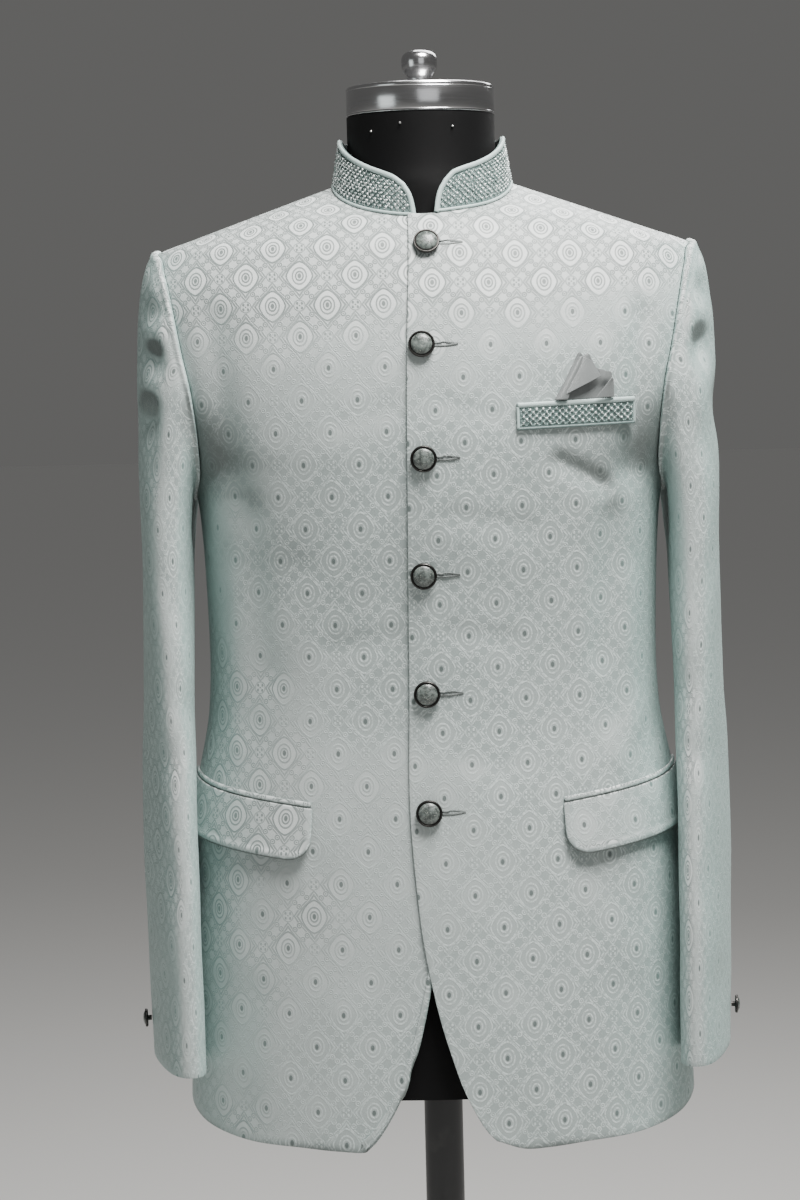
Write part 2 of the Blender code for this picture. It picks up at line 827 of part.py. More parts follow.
def flat_place(distance, drop):
    return Vector((distance, drop))


def flap_corner(share):
    """A point of the flap's rounded corner, from the upright edge (0) to the lower edge (1)."""
    angle = math.pi / 2 * share
    return (
        FLAP_CORNER * (1 - math.cos(angle)),
        FLAP_HEIGHT - FLAP_CORNER * (1 - math.sin(angle)),
    )


def flap_frame():
    """The four edges of a flap, whose inner lower corner is rounded."""
    upright = [(0.0, 0.0), *map(flap_corner, (0.0, 0.25, 0.5))]
    lower = [*map(flap_corner, (0.5, 0.75, 1.0)), (POCKET_LENGTH, FLAP_HEIGHT)]
    return (
        lambda s: along(lower, s, flat_place),
        lambda s: Vector((POCKET_LENGTH * s, 0.0)),
        lambda t: along(upright, 1 - t, flat_place),
        lambda t: Vector((POCKET_LENGTH, FLAP_HEIGHT * (1 - t))),
    )


def build_hip_pockets(cloth):
    flap_edges = flap_frame()
    for side, sign in (("left", 1), ("right", -1)):
        jet, flap = [], []
        for top in (0.0, JET_HEIGHT):
            jet.append([
                pocket_place(POCKET_LENGTH * j / FLAP_COLUMNS, -top, POCKET_GAP)
                for j in range(FLAP_COLUMNS + 1)
            ])
        for i in range(FLAP_ROWS + 1):
            row = []
            for j in range(FLAP_COLUMNS + 1):
                place = coons(*flap_edges, j / FLAP_COLUMNS, i / FLAP_ROWS)
                drop = place.y + SEAM_GAP
                out = POCKET_GAP + FLAP_LIFT * drop / FLAP_HEIGHT
                row.append(pocket_place(place.x, drop, out))
            flap.append(row)
        if sign < 0:
            jet, flap = mirrored(jet), mirrored(flap)
        patch_object(f"jet_{side}", jet, JET_WALL, cloth)
        patch_object(f"flap_{side}", flap, WALL, cloth)


def welt_place(x, up, out):
    share = (x - WELT_INNER_X) / (WELT_OUTER_X - WELT_INNER_X)
    z = WELT_TOP_Z + WELT_RISE * share + up
    return off_torso(angle_at(x, z), z, lap_out(x) + out)


def build_welt(cloth):
    grid = []
    for drop in (WELT_HEIGHT, WELT_HEIGHT / 2, 0.0):
        grid.append([
            welt_place(lerp(WELT_INNER_X, WELT_OUTER_X, j / WELT_COLUMNS), -drop, SEAM_GAP)
            for j in range(WELT_COLUMNS + 1)
        ])
    patch_object("pocket_welt", grid, WALL, cloth)


def build_square(satin):
    grid = []
    for i in range(SQUARE_ROWS + 1):
        share = i / SQUARE_ROWS
        row = []
        for fold in records(SQUARE, SQUARE_COLUMNS):
            x = lerp(fold["base_x"], fold["tip_x"], share)
            z = lerp(welt_place(fold["base_x"], SEAM_GAP, 0.0).z, fold["tip_z"], share)
            out = lap_out(x) + lerp(fold["base_out"], fold["tip_out"], share)
            row.append(off_torso(angle_at(x, z), z, out))
        grid.append(row)
    patch_object("pocket_square", grid, SQUARE_WALL, satin)


# Turned pieces: an outline of radius and height, top to bottom, spun about its own Z

def turned_object(name, outline, steps, material):
    mesh = bpy.data.meshes.new(name)
    edges = [(i, i + 1) for i in range(len(outline) - 1)]
    mesh.from_pydata([(radius, 0.0, height) for radius, height in outline], edges, [])
    mesh.materials.append(material)
    made = bpy.data.objects.new(name, mesh)
    parts.objects.link(made)
    screw = made.modifiers.new("turn", "SCREW")
    screw.steps = steps
    screw.render_steps = steps
    screw.use_smooth_shade = True
    screw.use_merge_vertices = True
    screw.merge_threshold = 0.00005
    return made


def button_outline(scale, shank_height):
    """A button's outline at a scale, on its shank. Height 0 is the shank's foot."""
    outline = [(radius * scale, shank_height + height * scale) for radius, height in BUTTON_OUTLINE]
    shank = BUTTON_SHANK_RADIUS * scale
    return [*outline, (shank, shank_height), (shank, 0.0), (0.0, 0.0)]


def stand_on(made, foot, normal):
    made.location = foot
    made.rotation_euler = normal.to_track_quat("Z", "Y").to_euler()


def build_buttons(metal):
    outline = button_outline(1.0, BUTTON_SHANK_HEIGHT)
    for number, button in enumerate(records(BUTTONS, BUTTON_COLUMNS), 1):
        z = button["z"]
        angle = angle_at(button["x"], z)
        made = turned_object(f"button_{number}", outline, BUTTON_STEPS, metal)
        out = LAP_LIFT + SEAM_GAP - button["sink"]
        stand_on(made, off_torso(angle, z, out), torso_normal(angle, z))
    outline = button_outline(CUFF_BUTTON_RADIUS / BUTTON_RADIUS, CUFF_BUTTON_SHANK_HEIGHT)
    share = (SLEEVE[0][0] - CUFF_BUTTON_Z) / (SLEEVE[0][0] - SLEEVE[-1][0])
    row = SLEEVE_HEAD_ROWS + SLEEVE_ARM_ROWS * share
    for side, sign in (("left", 1), ("right", -1)):
        normal = sleeve_normal(CUFF_BUTTON_TURN, row)
        foot = sleeve_place(CUFF_BUTTON_TURN, row) + normal * SEAM_GAP
        flip = Vector((sign, 1, 1))
        made = turned_object(f"cuff_button_{side}", outline, BUTTON_STEPS, metal)
        stand_on(made, foot * flip, normal * flip)


# Dress form and stand

def form_ring(z):
    clearance = look_up(FORM_CLEARANCE, FORM_CLEARANCE_COLUMNS, "z", "clearance", z)
    neck = look_up(NECK_FLARE, NECK_FLARE_COLUMNS, "z", "radius", z)
    ring = []
    for j in range(FORM_SIDES):
        point = off_torso(360 * j / FORM_SIDES, z, -clearance)
        if z == FORM_BOTTOM_Z:
            point.z = z
        past = max(abs(point.x) - FORM_SHOULDER_X, 0.0) * (z > FORM_SHOULDER_LOW_Z)
        point.x -= math.copysign(past * (1 - FORM_SHOULDER_SHRINK), point.x)
        radius = math.hypot(point.x, point.y)
        if radius < neck:
            point.x *= neck / radius
            point.y *= neck / radius
        ring.append(point)
    return ring


def neck_ring(z):
    radius = look_up(NECK_FLARE, NECK_FLARE_COLUMNS, "z", "radius", z)
    turns = [2 * math.pi * j / FORM_SIDES for j in range(FORM_SIDES)]
    return [Vector((radius * math.sin(turn), -radius * math.cos(turn), z)) for turn in turns]


def build_form(cover):
    rings = [form_ring(z) for z in FORM_LEVELS]
    rings += [
        neck_ring(z) for z in column(NECK_FLARE, NECK_FLARE_COLUMNS, "z") if z >= NECK_CURVE_Z
    ]
    points = [point for ring in rings for point in ring]
    faces = [list(reversed(range(FORM_SIDES)))]
    for i in range(len(rings) - 1):
        for j in range(FORM_SIDES):
            after = (j + 1) % FORM_SIDES
            low, high = i * FORM_SIDES, (i + 1) * FORM_SIDES
            faces += split_cell(points, [low + j, low + after, high + after, high + j])
    faces.append([(len(rings) - 1) * FORM_SIDES + j for j in range(FORM_SIDES)])
    mesh_object("form_torso", points, faces, cover)


def build_stand(chrome, dark):
    turned_object("neck_cap", CAP_OUTLINE, ROUND_STEPS, chrome)
    turned_object("cap_knob", KNOB_OUTLINE, ROUND_STEPS // 2, chrome)
    turned_object("stand_base", BASE_OUTLINE, ROUND_STEPS, dark)
    foot, head = BASE_OUTLINE[0][1] + SEAM_GAP, FORM_BOTTOM_Z - SEAM_GAP
    bpy.ops.mesh.primitive_cylinder_add(
        vertices=ROUND_STEPS // 2,
        radius=POLE_RADIUS,
        depth=head - foot,
        location=(0.0, 0.0, (head + foot) / 2),
    )
    pole = bpy.context.object
    pole.name = "stand_pole"
    pole.data.shade_smooth()
    pole.data.set_sharp_from_angle(angle=math.radians(40))
    pole.data.materials.append(dark)
    for collection in list(pole.users_collection):
        collection.objects.unlink(pole)
    parts.objects.link(pole)


def make_material(name, colour, roughness, metallic=0.0, sheen=0.0):
    material = bpy.data.materials.new(name)
    material.use_nodes = True
    shader = material.node_tree.nodes["Principled BSDF"]
    shader.inputs["Base Color"].default_value = (*colour, 1.0)
    shader.inputs["Roughness"].default_value = roughness
    shader.inputs["Metallic"].default_value = metallic
    shader.inputs["Sheen Weight"].default_value = sheen
    return material


for old in list(bpy.data.objects):
    bpy.data.objects.remove(old)
parts = bpy.data.collections.new("bandhgala_jacket_on_form")
bpy.context.scene.collection.children.link(parts)

brocade = make_material("mint_brocade", (0.56, 0.68, 0.66), 0.42, sheen=0.4)
beaded = make_material("beaded_band", (0.42, 0.58, 0.56), 0.38)
grey_satin = make_material("grey_satin", (0.42, 0.44, 0.44), 0.35)
dark_metal = make_material("button_metal", (0.20, 0.20, 0.19), 0.30, metallic=0.8)
black_cover = make_material("form_cover", (0.006, 0.006, 0.007), 0.60)
mirror_chrome = make_material("cap_chrome", (0.60, 0.60, 0.61), 0.12, metallic=1.0)
black_paint = make_material("stand_paint", (0.010, 0.010, 0.011), 0.45)

build_fronts(brocade)
build_backs(brocade)
build_sleeves(brocade)
build_collars(beaded)
build_hip_pockets(brocade)
build_welt(beaded)
build_square(grey_satin)
build_buttons(dark_metal)
build_form(black_cover)
build_stand(mirror_chrome, black_paint)
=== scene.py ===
import math

import bpy
import numpy as np
from mathutils import Euler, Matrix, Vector


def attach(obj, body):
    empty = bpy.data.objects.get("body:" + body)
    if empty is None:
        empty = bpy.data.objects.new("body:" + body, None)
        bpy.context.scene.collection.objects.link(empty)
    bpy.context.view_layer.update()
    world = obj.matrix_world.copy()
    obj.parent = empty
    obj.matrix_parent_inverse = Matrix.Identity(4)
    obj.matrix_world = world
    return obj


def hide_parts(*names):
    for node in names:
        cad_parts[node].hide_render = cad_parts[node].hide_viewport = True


# A mint brocade bandhgala jacket on a black dress form. Metres, +Z up, the jacket faces -Y.
# The wearer's left is +X. The same sizes as the part's source, at a finer spacing.

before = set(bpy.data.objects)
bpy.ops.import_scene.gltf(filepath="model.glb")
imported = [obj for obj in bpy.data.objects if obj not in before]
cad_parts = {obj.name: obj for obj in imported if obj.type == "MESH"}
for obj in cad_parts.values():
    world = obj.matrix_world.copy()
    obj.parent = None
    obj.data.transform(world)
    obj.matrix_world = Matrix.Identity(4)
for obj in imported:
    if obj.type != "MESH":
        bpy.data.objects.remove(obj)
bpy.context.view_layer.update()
print("frame loaded")


# Curves through short tables

def smoothRead(knots, values, at):
    knots, values = np.array(knots, float), np.array(values, float)
    last = len(knots) - 1
    at = np.clip(np.asarray(at, float), knots[0], knots[-1])
    i = np.clip(np.searchsorted(knots, at, side="right") - 1, 0, last - 1)
    low = np.maximum(np.arange(last + 1) - 1, 0)
    high = np.minimum(np.arange(last + 1) + 1, last)
    slopes = (values[high] - values[low]) / (knots[high] - knots[low])
    span = knots[i + 1] - knots[i]
    u = (at - knots[i]) / span
    return (
        values[i] * (2 * u**3 - 3 * u**2 + 1)
        + slopes[i] * span * (u**3 - 2 * u**2 + u)
        + values[i + 1] * (3 * u**2 - 2 * u**3)
        + slopes[i + 1] * span * (u**3 - u**2)
    )


def lerp(a, b, t):
    return a + (b - a) * t


def softStep(t):
    t = np.clip(t, 0.0, 1.0)
    return t * t * (3 - 2 * t)


def unit(vectors):
    return vectors / np.maximum(np.linalg.norm(vectors, axis=-1, keepdims=True), 1e-12)


def placeAlong(points, t, place):
    points = np.array(points, float)  # t runs by the lengths between the points' places
    spots = place(points[:, 0], points[:, 1])
    steps = np.linalg.norm(np.diff(spots, axis=0), axis=1)
    knots = np.concatenate([[0.0], np.cumsum(steps)])
    return np.stack([smoothRead(knots, points[:, k], t * knots[-1]) for k in (0, 1)], axis=-1)


def fillEdges(edges, s, t):
    bottom, top, left, right = edges
    ends = np.array([0.0, 1.0])
    b, p = bottom(s)[None], top(s)[None]
    l, r = left(t)[:, None], right(t)[:, None]
    s, t = s[None, :, None], t[:, None, None]
    bottomEnds, topEnds = bottom(ends), top(ends)
    corners = lerp(lerp(bottomEnds[0], bottomEnds[1], s), lerp(topEnds[0], topEnds[1], s), t)
    return lerp(b, p, t) + lerp(l, r, s) - corners


# The torso, by angle round from the front in degrees and height

torso = {
    "z": [0.660, 0.750, 0.850, 0.950, 1.020, 1.100, 1.180, 1.216, 1.243, 1.280, 1.315,
          1.352, 1.376, 1.393, 1.400, 1.410, 1.422, 1.430, 1.4356, 1.445, 1.448, 1.451],
    "halfWidth": [0.2095, 0.2080, 0.2050, 0.1995, 0.1870, 0.1860, 0.1905, 0.1970, 0.2080, 0.2245, 0.2345,
                  0.2415, 0.2380, 0.2260, 0.2175, 0.1894, 0.1556, 0.1331, 0.1174, 0.0909, 0.0825, 0.0740],
    "front": [0.1320, 0.1300, 0.1260, 0.1190, 0.1140, 0.1170, 0.1240, 0.1265, 0.1275, 0.1260, 0.1222,
              0.1135, 0.1040, 0.0965, 0.0930, 0.0860, 0.0750, 0.0585, 0.0480, 0.0340, 0.0295, 0.0250],
    "back": [0.1260, 0.1250, 0.1220, 0.1130, 0.1010, 0.1030, 0.1100, 0.1130, 0.1140, 0.1140, 0.1125,
             0.1075, 0.1030, 0.0990, 0.0970, 0.0935, 0.0885, 0.0840, 0.0800, 0.0720, 0.0665, 0.0630],
    "squareness": [0.030, 0.030, 0.030, 0.030, 0.030, 0.030, 0.030, 0.029, 0.028, 0.024, 0.020,
                   0.013, 0.006, 0.001, 0, 0, 0, 0, 0, 0, 0, 0],
}
cloth = {"wall": 0.0018, "seamGap": 0.0003, "lapLift": 0.0028, "lapFullX": 0.022, "lapEndX": 0.075}
neck = {"halfWidth": 0.0740, "frontZ": 1.422, "sideZ": 1.451, "backZ": 1.445}


def torsoSize(name, z):
    return smoothRead(torso["z"], torso[name], z)


def torsoPoint(degrees, z):
    degrees, z = np.broadcast_arrays(np.asarray(degrees, float), np.asarray(z, float))
    a = np.radians(degrees)
    depth = np.where(np.cos(a) > 0, torsoSize("front", z), torsoSize("back", z))
    square = torsoSize("squareness", z)
    x = torsoSize("halfWidth", z) * (np.sin(a) + square * np.sin(3 * a))
    y = -depth * (np.cos(a) - square * np.cos(3 * a))
    return np.stack([x / (1 - square), y / (1 - square), z], axis=-1)


def torsoNormal(degrees, z):
    low, high = np.maximum(z - 0.001, torso["z"][0]), np.minimum(z + 0.001, torso["z"][-1])
    roundIt = torsoPoint(degrees + 0.5, z) - torsoPoint(degrees - 0.5, z)
    return unit(np.cross(roundIt, torsoPoint(degrees, high) - torsoPoint(degrees, low)))


def offTorso(degrees, z, out):
    degrees, z = np.asarray(degrees, float), np.asarray(z, float)
    return torsoPoint(degrees, z) + torsoNormal(degrees, z) * np.asarray(out)[..., None]


def angleAtX(x, z):
    x, z = np.broadcast_arrays(np.asarray(x, float), np.asarray(z, float))
    low, high = np.full(x.shape, -90.0), np.full(x.shape, 90.0)
    for _ in range(32):
        middle = (low + high) / 2
        below = torsoPoint(middle, z)[..., 0] < x
        low, high = np.where(below, middle, low), np.where(below, high, middle)
    return (low + high) / 2


girthAngles = np.arange(0, 181, 5.0)


def girthTable(z):
    points = torsoPoint(girthAngles, np.asarray(z, float)[..., None])
    steps = np.linalg.norm(np.diff(points, axis=-2), axis=-1)
    return np.concatenate([np.zeros(steps.shape[:-1] + (1,)), np.cumsum(steps, axis=-1)], axis=-1)


def girthAt(degrees, z):
    table = girthTable(z)
    place = np.abs(degrees) / 5.0
    k = np.clip(place.astype(int), 0, 35)[..., None]
    low, high = (np.take_along_axis(table, k + n, -1)[..., 0] for n in (0, 1))
    return np.copysign(lerp(low, high, place - k[..., 0]), degrees)


def angleFor(girth, z):
    table = girthTable(z)
    k = np.clip((table[..., 1:] < np.abs(girth)[..., None]).sum(-1), 0, 35)[..., None]
    low, high = (np.take_along_axis(table, k + n, -1)[..., 0] for n in (0, 1))
    return np.copysign((k[..., 0] + (np.abs(girth) - low) / (high - low)) * 5.0, girth)


def lapOut(x):
    return cloth["lapLift"] * (1 - softStep((x - cloth["lapFullX"]) / (cloth["lapEndX"] - cloth["lapFullX"])))


# Meshes and finishing

def gridMesh(name, grid, uv, material, ring=False, flip=False):
    rows, columns = grid.shape[:2]
    steps = columns if ring else columns - 1
    i, j = np.meshgrid(np.arange(rows - 1), np.arange(steps), indexing="ij")
    after = (j + 1) % columns
    quads = np.stack([i * columns + j, i * columns + after, (i + 1) * columns + after, (i + 1) * columns + j], -1)
    uvs = np.stack([uv[i, j], uv[i, j + 1], uv[i + 1, j + 1], uv[i + 1, j]], axis=2)
    quads, uvs = quads.reshape(-1, 4), uvs.reshape(-1, 4, 2)
    if flip:
        quads, uvs = quads[:, ::-1], uvs[:, ::-1]
    mesh = bpy.data.meshes.new(name)
    mesh.from_pydata(grid.reshape(-1, 3).tolist(), [], quads.tolist())
    layer = mesh.uv_layers.new(name="cut")
    layer.data.foreach_set("uv", uvs.reshape(-1).astype(np.float32))
    mesh.shade_smooth()
    mesh.materials.append(material)
    made = bpy.data.objects.new(name, mesh)
    bpy.context.scene.collection.objects.link(made)
    return made


def thicken(made, wall, offset=-1.0, edge=0.0006):
    solid = made.modifiers.new("wall", "SOLIDIFY")
    solid.thickness, solid.offset = wall, offset
    soft = made.modifiers.new("soft edge", "BEVEL")
    soft.width, soft.segments = edge, 2
    soft.limit_method, soft.angle_limit = "ANGLE", math.radians(50)
    bakeModifiers(made)


def bakeModifiers(made):
    graph = bpy.context.evaluated_depsgraph_get()
    plain = bpy.data.meshes.new_from_object(made.evaluated_get(graph), preserve_all_data_layers=True, depsgraph=graph)
    made.modifiers.clear()
    made.data = plain
    plain.shade_smooth()
    plain.set_sharp_from_angle(angle=math.radians(55))


def tube(name, path, normals, halfWidth, halfThick, material, sides=10, closed=False):
    path, normals = np.asarray(path, float), unit(np.asarray(normals, float))
    if closed:
        along = unit(np.roll(path, -1, 0) - np.roll(path, 1, 0))
    else:
        along = unit(np.gradient(path, axis=0))
    across = unit(np.cross(along, normals))
    turns = np.arange(sides) * 2 * math.pi / sides
    rings = (
        path[:, None]
        + across[:, None] * np.cos(turns)[None, :, None] * halfWidth
        + normals[:, None] * np.sin(turns)[None, :, None] * halfThick
    )
    points = rings.reshape(-1, 3)
    count = len(path)
    faces = []
    for i in range(count if closed else count - 1):
        for j in range(sides):
            k, m = (j + 1) % sides, (i + 1) % count
            faces.append([i * sides + j, i * sides + k, m * sides + k, m * sides + j])
    if not closed:
        faces += [list(range(sides))[::-1], [(count - 1) * sides + j for j in range(sides)]]
    lengths = np.concatenate([[0.0], np.cumsum(np.linalg.norm(np.diff(path, axis=0), axis=1))])
    mesh = bpy.data.meshes.new(name)
    mesh.from_pydata(points.tolist(), [], faces)
    layer = mesh.uv_layers.new(name="cut")
    for loop in mesh.loops:
        ringIndex, side = divmod(loop.vertex_index, sides)
        layer.data[loop.index].uv = (side / sides * 0.01, lengths[ringIndex])
    mesh.shade_smooth()
    mesh.materials.append(material)
    made = bpy.data.objects.new(name, mesh)
    bpy.context.scene.collection.objects.link(made)
    faceOut(made)
    return made


def faceOut(made):
    import bmesh
    work = bmesh.new()
    work.from_mesh(made.data)
    bmesh.ops.remove_doubles(work, verts=work.verts, dist=1e-6)
    bmesh.ops.recalc_face_normals(work, faces=work.faces)
    work.to_mesh(made.data)
    work.free()


def joinPieces(name, pieces):
    bpy.ops.object.select_all(action="DESELECT")
    for piece in pieces:
        piece.select_set(True)
    bpy.context.view_layer.objects.active = pieces[0]
    bpy.ops.object.join()
    pieces[0].name = name
    return pieces[0]


def turned(name, outline, steps, materials, foot=(0, 0, 0), normal=(0, 0, 1), bands=None):
    # outline: radius and height from the top down; bands give the material of each step
    count = len(outline)
    frameTurn = Vector(normal).to_track_quat("Z", "Y")
    mesh = bpy.data.meshes.new(name)
    points, faces, slots = [], [], []
    for radius, height in outline:
        for k in range(steps):
            a = 2 * math.pi * k / steps
            points.append(frameTurn @ Vector((radius * math.cos(a), radius * math.sin(a), height)) + Vector(foot))
    for i in range(count - 1):
        for k in range(steps):
            m = (k + 1) % steps
            faces.append([i * steps + k, (i + 1) * steps + k, (i + 1) * steps + m, i * steps + m])
            slots.append(bands[i] if bands else 0)
    mesh.from_pydata([tuple(point) for point in points], [], faces)
    for material in materials:
        mesh.materials.append(material)
    mesh.polygons.foreach_set("material_index", slots)
    made = bpy.data.objects.new(name, mesh)
    bpy.context.scene.collection.objects.link(made)
    faceOut(made)
    made.data.shade_smooth()
    made.data.set_sharp_from_angle(angle=math.radians(35))
    return made


def mirrorX(grid):
    return grid[:, ::-1] * np.array([-1.0, 1.0, 1.0])


# Shader maths: a socket that takes operators, and one call for any other node

class Socket:
    def __init__(self, tree, link):
        self.tree, self.link = tree, link

    def math(self, operation, *others):
        return ask(self.tree, "ShaderNodeMath", {"operation": operation}, [self, *others])

    def __add__(self, other): return self.math("ADD", other)
    def __sub__(self, other): return self.math("SUBTRACT", other)
    def __mul__(self, other): return self.math("MULTIPLY", other)
    def __truediv__(self, other): return self.math("DIVIDE", other)
    def __pow__(self, other): return self.math("POWER", other)
    def __neg__(self): return self.math("MULTIPLY", -1.0)
    def __abs__(self): return self.math("ABSOLUTE")
    def __rsub__(self, other): return -self + other
    def __rtruediv__(self, other): return ask(self.tree, "ShaderNodeMath", {"operation": "DIVIDE"}, [other, self])
    __radd__ = __add__
    __rmul__ = __mul__

    def sin(self): return self.math("SINE")
    def cos(self): return self.math("COSINE")
    def root(self): return self.math("SQRT")
    def fract(self): return self.math("FRACT")
    def least(self, other): return self.math("MINIMUM", other)
    def most(self, other): return self.math("MAXIMUM", other)
    def above(self, other): return self.math("GREATER_THAN", other)

    def step(self, low, high):
        return ask(self.tree, "ShaderNodeMapRange", {"interpolation_type": "SMOOTHSTEP"},
                   {"Value": self, "From Min": low, "From Max": high})

    def line(self, at, halfWidth, softness):
        return 1 - abs(self - at).step(halfWidth, halfWidth + softness)


def ask(tree, kind, settings=None, inputs=None, output=0):
    node = tree.nodes.new(kind)
    for name, value in (settings or {}).items():
        if name == "stops":
            ramp = node.color_ramp
            while len(ramp.elements) < len(value):
                ramp.elements.new(0.5)
            for element, (place, colour) in zip(ramp.elements, value):
                element.position, element.color = place, (*colour, 1)
        else:
            setattr(node, name, value)
    pairs = inputs.items() if isinstance(inputs, dict) else enumerate(inputs or [])
    for name, value in pairs:
        if isinstance(value, Socket):
            tree.links.new(value.link, node.inputs[name])
        elif value is not None:
            node.inputs[name].default_value = value
    return Socket(tree, node.outputs[output])


def mixColour(tree, factor, first, second, blend="MIX"):
    node = tree.nodes.new("ShaderNodeMix")
    node.data_type, node.blend_type = "RGBA", blend
    for socket, value in ((node.inputs[0], factor), (node.inputs[6], first), (node.inputs[7], second)):
        if isinstance(value, Socket):
            tree.links.new(value.link, socket)
        elif isinstance(value, (int, float)):
            socket.default_value = value
        else:
            socket.default_value = (*value, 1)
    return Socket(tree, node.outputs[2])


def newMaterial(name, **constants):
    material = bpy.data.materials.new(name)
    material.use_nodes = True
    tree = material.node_tree
    shader = tree.nodes["Principled BSDF"]
    for key, value in constants.items():
        shader.inputs[key.replace("_", " ")].default_value = value
    return material, tree, shader


def feed(tree, shader, **sockets):
    for key, value in sockets.items():
        tree.links.new(value.link, shader.inputs[key.replace("_", " ")])


def bumpFrom(tree, height, distance, strength=1.0, under=None):
    inputs = {"Strength": strength, "Distance": distance, "Height": height}
    if under is not None:
        inputs["Normal"] = under
    return ask(tree, "ShaderNodeBump", None, inputs)


def splitPair(tree, kind="ShaderNodeUVMap", output=0):
    source = ask(tree, kind, {"uv_map": "cut"} if kind == "ShaderNodeUVMap" else None, None, output)
    return [ask(tree, "ShaderNodeSeparateXYZ", None, [source], k) for k in (0, 1, 2)]


def noise(tree, scale, detail=2.0, vector=None, output=0):
    return ask(tree, "ShaderNodeTexNoise", None,
               {"Scale": scale, "Detail": detail, "Vector": vector if vector is not None else objectPlace(tree)}, output)


def objectPlace(tree):
    return ask(tree, "ShaderNodeTexCoord", None, None, 3)


brocade = {
    "across": 44.8, "down": 25.6,  # the repeat in millimetres, each row half a pitch along from the last
    "ringAt": (3.1, 5.7), "barrelAcross": 10.8, "barrelDown": 12.9, "ogeeAt": (0.665, 0.775),
    "curlAt": 5.0, "curlIn": 2.5, "curlRadius": 1.75, "line": 0.50, "softness": 0.36,
    # two copies each of the ground and of the figure's lines, lit and shaded, swapped by which way the cloth faces: a
    # painted sheen
    "groundFrontSheen": (0.290, 0.338, 0.331), "groundUpSheen": (0.455, 0.486, 0.480),
    "lineFrontSheen": (0.680, 0.750, 0.738), "lineUpSheen": (0.125, 0.150, 0.146),
    "fill": (0.700, 0.728, 0.722), "dot": (0.070, 0.092, 0.088),
    # side is painted mint sheen on cloth turned to the sides; under is painted shade and dark reflection on cloth that
    # faces down
    "side": (0.300, 0.500, 0.468), "under": (0.085, 0.100, 0.096),
}


